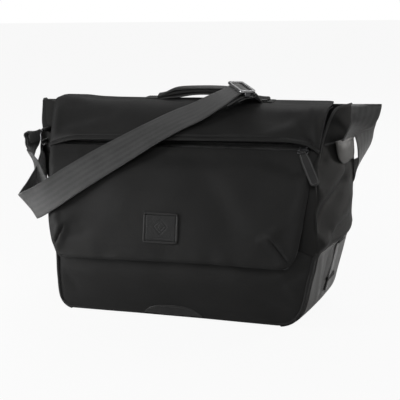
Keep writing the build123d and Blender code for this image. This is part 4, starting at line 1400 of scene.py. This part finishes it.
# The adjuster: a cast frame over the strap with a bar under it, and the strap's sewn loop round that bar.
adjuster_plane = (ADJUSTER, RUN, -SPAN)
corner_path = rounded_box(18.4, 44.4, 3.2, (0, 0), 6)
frame_path = ADJUSTER + corner_path[:, :1] * RUN + corner_path[:, 1:] * -SPAN + FACE * 2.6
frame_section = [
    (-2.0, -1.3), (-1.5, -1.7), (1.5, -1.7), (2.0, -1.3), (2.0, 0.8), (1.2, 1.6), (-1.2, 1.6), (-2.0, 0.8)
]
adjuster = sweep("adjuster_frame", frame_path, FACE, frame_section, BRIGHT_METAL, closed=True)
place(adjuster, "strap_adjuster", "dark_metal", "adjuster_frame")
for k, side in enumerate((-1, 1)):
    post_box = rounded_box(8, 3.0, 1.0, (0, side * 22.1))
    post = plate(f"adjuster_post_{k}", post_box, adjuster_plane, -3.6, 1.4, METAL, round_by=0.5)
    place(post, "strap_adjuster", "dark_metal")
bar_line = ADJUSTER + RUN * 6 + np.linspace(-20.4, 20.4, 24)[:, None] * -SPAN + FACE * -4.9
adjuster_bar = sweep("adjuster_bar", bar_line, FACE, round_section(1.5, 12) * (1.2, 0.75), METAL)
place(adjuster_bar, "strap_adjuster", "dark_metal", "adjuster_bar")
loop_end = ribbon("strap_loop_end", [
    ((50, 10, 276.2), (0.60, -0.76, -0.24)), ((61, 17.2, 281.8), (0.61, -0.77, -0.18)),
    ((70, 25, 285.4), SPAN), ((78, 31.5, 286.8), SPAN), ((81.2, 34, 285.2), SPAN),
    ((78.5, 31.8, 283.2), SPAN), ((70, 25, 282.4), SPAN), ((61, 17.2, 279), (0.61, -0.77, -0.18))
], width=37.4)
place(loop_end, "strap_adjuster", "webbing", "strap_loop_end")
for k, along in enumerate((0, 2.6)):
    tack = np.array([44 + along, 9 + 0.6 * along, 276.5 + 0.7 * along])
    row = tack + np.linspace(-16, 16, 30)[:, None] * np.array([0.59, -0.76, -0.28]) + FACE * 1.5
    place(stitches(f"strap_tack_{k}", row, FACE, DARK_THREAD, 2.6, 1.9, 0.32), "flap", "webbing")

# Left ring, the leather tab it hangs in, and the strap's bight round it.
RING = np.array([-209, 20, 231.0])
ring_corners = rounded_box(46, 16, 4, (0, 0), 6)
ring_line = RING + ring_corners[:, :1] * Y_AXIS + (ring_corners[:, 1:] - 8) * np.array([0, 0, 1.0])
left_ring = sweep("left_ring", ring_line, (1, 0, 0), round_section(1.5, 14), METAL, closed=True)
place(left_ring, "strap_ring", "dark_metal", "left_ring")
BIGHT = RING + (0, 0, -16)
turn = np.linspace(math.radians(-150), math.radians(100), 26)
bight = np.stack([BIGHT + (-3.1 * math.cos(a), 0, 3.1 * math.sin(a)) for a in turn])
bight_up = np.stack([(-math.cos(a), 0, math.sin(a)) for a in turn])
ring_loop = sweep("strap_ring_loop", bight, bight_up, flat_section(36, 1.7, 5), WEBBING)
place(ring_loop, "strap_ring", "webbing", "strap_ring_loop")


FOOT_RADIUS = 12.0


def anchor_tab(name, right, y_mid, wide, low, high, material):
    """A leather tab sewn to the gusset, rounded at its foot and fuller down its middle; also its grid."""
    rows, columns = 44, 48
    t = np.linspace(0, 1, rows)[:, None]
    u = np.linspace(-1, 1, columns)[None]
    z = high + (low - high) * t
    foot = np.clip((low + FOOT_RADIUS - z) / FOOT_RADIUS, 0, 1)
    half = wide / 2 - FOOT_RADIUS * (1 - np.sqrt(np.clip(1 - foot**2, 0, 1)))
    y = y_mid + u * half
    w = np.clip((y - front_y(z)) / (BACK_Y - front_y(z)), 0, 1)
    p = side_point(z, w, right)
    sign = 1 if right else -1
    plump = 1.4 * (1 - u**4) * np.sin(math.pi * np.clip(t * 0.9 + 0.12, 0, 1))
    p[..., 1] = y
    smooth_x = p[..., 0].mean(0, keepdims=True) * 0.5 + p[..., 0] * 0.5
    p[..., 0] = smooth_x + sign * ((5.6 if right else 3.4) + plump)
    if not right:
        p = p[:, ::-1]
    return sheet_mesh(name, p, 2.6, material), p


# The right tab's lighter leather is a painted highlight; the left tab has the plain leather.
right_tab, right_tab_grid = anchor_tab("right_anchor_tab", True, 22, 42, 200, 228, LIT_TAB_LEATHER)
place(right_tab, "body", "leather", "right_anchor_tab")
left_tab, left_tab_grid = anchor_tab("left_anchor_tab", False, 20, 35, 199, 226, LEATHER)
place(left_tab, "body", "leather", "left_anchor_tab")
for name, grid, sign in (("right_tab_stitches", right_tab_grid, 1), ("left_tab_stitches", left_tab_grid, -1)):
    line = grid[4, 3:-3] + (sign * 2.7, 0, 0)
    place(stitches(name, line, (sign, 0, 0), DARK_THREAD, 2.6, 1.9, 0.3), "body", "leather")
loop_a = np.linspace(math.radians(-60), math.radians(215), 24)
roll = np.stack([RING + (-2.9 * math.cos(a), 0, 2.9 * math.sin(a)) for a in loop_a])
roll_up = np.stack([(-math.cos(a), 0, math.sin(a)) for a in loop_a])
place(sweep("left_tab_loop", roll, roll_up, flat_section(33, 1.5, count=15), LEATHER), "body", "leather")


# ---- Inside the bag ------------------------------------------------------------------------------
def hanging_panel(name, y, low, high, half_top, half_low, thick, seed):
    """An upright lining panel inside the bag, rounded at its foot."""
    rows, columns = 60, 80
    t = np.linspace(0, 1, rows)[:, None]
    u = np.linspace(-1, 1, columns)[None]
    z = high + (low - high) * t + 0 * u
    half = half_low + (half_top - half_low) * (1 - t) ** 0.8
    foot = np.clip((low + 16 - z) / 16, 0, 1)
    half = half - 16 * (1 - np.sqrt(np.clip(1 - foot**2, 0, 1)))
    x = u * half
    wave = 0.5 * waves(seed, 6, 60, 140)(x, z)
    place(sheet_mesh(name, np.stack([x, y + wave, z], -1), thick, LINING), "body", "lining", name)


hanging_panel("laptop_divider", 44.6, 6.5, 221, 164, 152, 3.2, 51)
hanging_panel("inner_pocket", 42.9, 40, 169, 114.5, 114.5, 0.9, 51)
divider_top = np.stack([np.linspace(-163, 163, 60), np.full(60, 46.2), np.full(60, 219.5)], 1)
place(
    sweep("divider_binding", divider_top, (0, -1, 0), flat_section(9, 5.2, count=11), BINDING), "body",
    "binding"
)
board = plate(
    "base_board", rounded_box(256, 88, 6, (0, -3)), ((0, 0, 0), X_AXIS, Y_AXIS), 2.9, 4.7,
    BOARD, round_by=0.5
)
place(board, "body", "stiffener", "base_board")
for node in ("flap_magnets", "body_magnets"):
    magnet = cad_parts[node]
    magnet.data.materials.clear()
    magnet.data.materials.append(METAL)


# ---- Camera, floor and light ---------------------------------------------------------------------
def look_camera():
    """The camera, a little to the right of the front and above it."""
    yaw, pitch, roll = (math.radians(a) for a in (18.33, 13.83, -1.65))
    forward = Vector((-math.sin(yaw) * math.cos(pitch), math.cos(yaw) * math.cos(pitch), -math.sin(pitch)))
    right = Vector((math.cos(yaw), math.sin(yaw), 0))
    up = right.cross(forward)
    right_rolled = right * math.cos(roll) + up * math.sin(roll)
    up_rolled = up * math.cos(roll) - right * math.sin(roll)
    data = bpy.data.cameras.new("camera")
    data.lens = 87.6
    data.sensor_width = 36
    camera = bpy.data.objects.new("camera", data)
    rotation = Matrix((right_rolled, up_rolled, -forward)).transposed().to_4x4()
    camera.matrix_world = Matrix.Translation(Vector((0.4152, -1.1971, 0.4546))) @ rotation
    bpy.context.scene.collection.objects.link(camera)
    bpy.context.scene.camera = camera


def area_light(name, at, aim, size, power, colour=(1, 1, 1)):
    """A soft rectangular lamp at a place, turned to a point, in metres and watts."""
    data = bpy.data.lights.new(name, "AREA")
    data.shape = "RECTANGLE"
    data.size, data.size_y = size
    data.energy = power
    data.color = colour
    lamp = bpy.data.objects.new(name, data)
    lamp.location = at
    lamp.rotation_euler = (Vector(aim) - Vector(at)).to_track_quat("-Z", "Y").to_euler()
    bpy.context.scene.collection.objects.link(lamp)


def floor_plane():
    """A plain pale floor that catches a soft shadow and is nearly white to the camera."""
    size, level = 6.0, -0.0015
    mesh = bpy.data.meshes.new("floor")
    corners = [(-size, -size, level), (size, -size, level), (size, size, level), (-size, size, level)]
    mesh.from_pydata(corners, [], [(0, 1, 2, 3)])
    material = bpy.data.materials.new("floor_white")
    material.use_nodes = True
    tree = material.node_tree
    shader = tree.nodes["Principled BSDF"]
    shader.inputs["Base Color"].default_value = (0.75, 0.75, 0.75, 1)
    shader.inputs["Roughness"].default_value = 0.9
    glow = tree.nodes.new("ShaderNodeEmission")
    glow.inputs["Strength"].default_value = 1.0
    mix = tree.nodes.new("ShaderNodeMixShader")
    rays = tree.nodes.new("ShaderNodeLightPath")
    share = tree.nodes.new("ShaderNodeMath")
    share.operation = "MULTIPLY"
    share.inputs[1].default_value = 0.93
    tree.links.new(rays.outputs["Is Camera Ray"], share.inputs[0])
    tree.links.new(share.outputs[0], mix.inputs[0])
    tree.links.new(shader.outputs[0], mix.inputs[1])
    tree.links.new(glow.outputs[0], mix.inputs[2])
    tree.links.new(mix.outputs[0], tree.nodes["Material Output"].inputs["Surface"])
    mesh.materials.append(material)
    floor = bpy.data.objects.new("floor", mesh)
    bpy.context.scene.collection.objects.link(floor)


def white_world():
    """A white backdrop with weak ambient light."""
    world = bpy.data.worlds.new("studio")
    bpy.context.scene.world = world
    world.use_nodes = True
    tree = world.node_tree
    ambient = tree.nodes["Background"]
    ambient.inputs["Color"].default_value = (1, 1, 1, 1)
    ambient.inputs["Strength"].default_value = 0.11
    seen = tree.nodes.new("ShaderNodeBackground")
    seen.inputs["Color"].default_value = (1, 1, 1, 1)
    seen.inputs["Strength"].default_value = 1.0
    mix = tree.nodes.new("ShaderNodeMixShader")
    rays = tree.nodes.new("ShaderNodeLightPath")
    tree.links.new(rays.outputs["Is Camera Ray"], mix.inputs[0])
    tree.links.new(ambient.outputs[0], mix.inputs[1])
    tree.links.new(seen.outputs[0], mix.inputs[2])
    tree.links.new(mix.outputs[0], tree.nodes["World Output"].inputs["Surface"])


look_camera()
floor_plane()
white_world()
MIDDLE = (0.0, 0.0, 0.15)
area_light("key_left", (-1.2, -1.2, 1.5), MIDDLE, (0.8, 0.8), 4.6)
area_light("near_left", (-0.60, -0.32, 0.20), (-0.19, -0.07, 0.145), (0.22, 0.22), 1.8)
area_light("front", (1.0, -1.45, 1.65), MIDDLE, (1.0, 0.8), 9.0)
area_light("right_back", (1.6, 1.2, 0.75), MIDDLE, (0.4, 1.2), 9, (1, 0.98, 0.95))
area_light("right_front", (1.7, -0.9, 0.6), MIDDLE, (0.4, 1.2), 0.8, (1, 0.97, 0.93))
area_light("top", (0.0, 1.2, 1.7), MIDDLE, (1.4, 1.0), 9)
bpy.context.scene.view_settings.view_transform = "Standard"
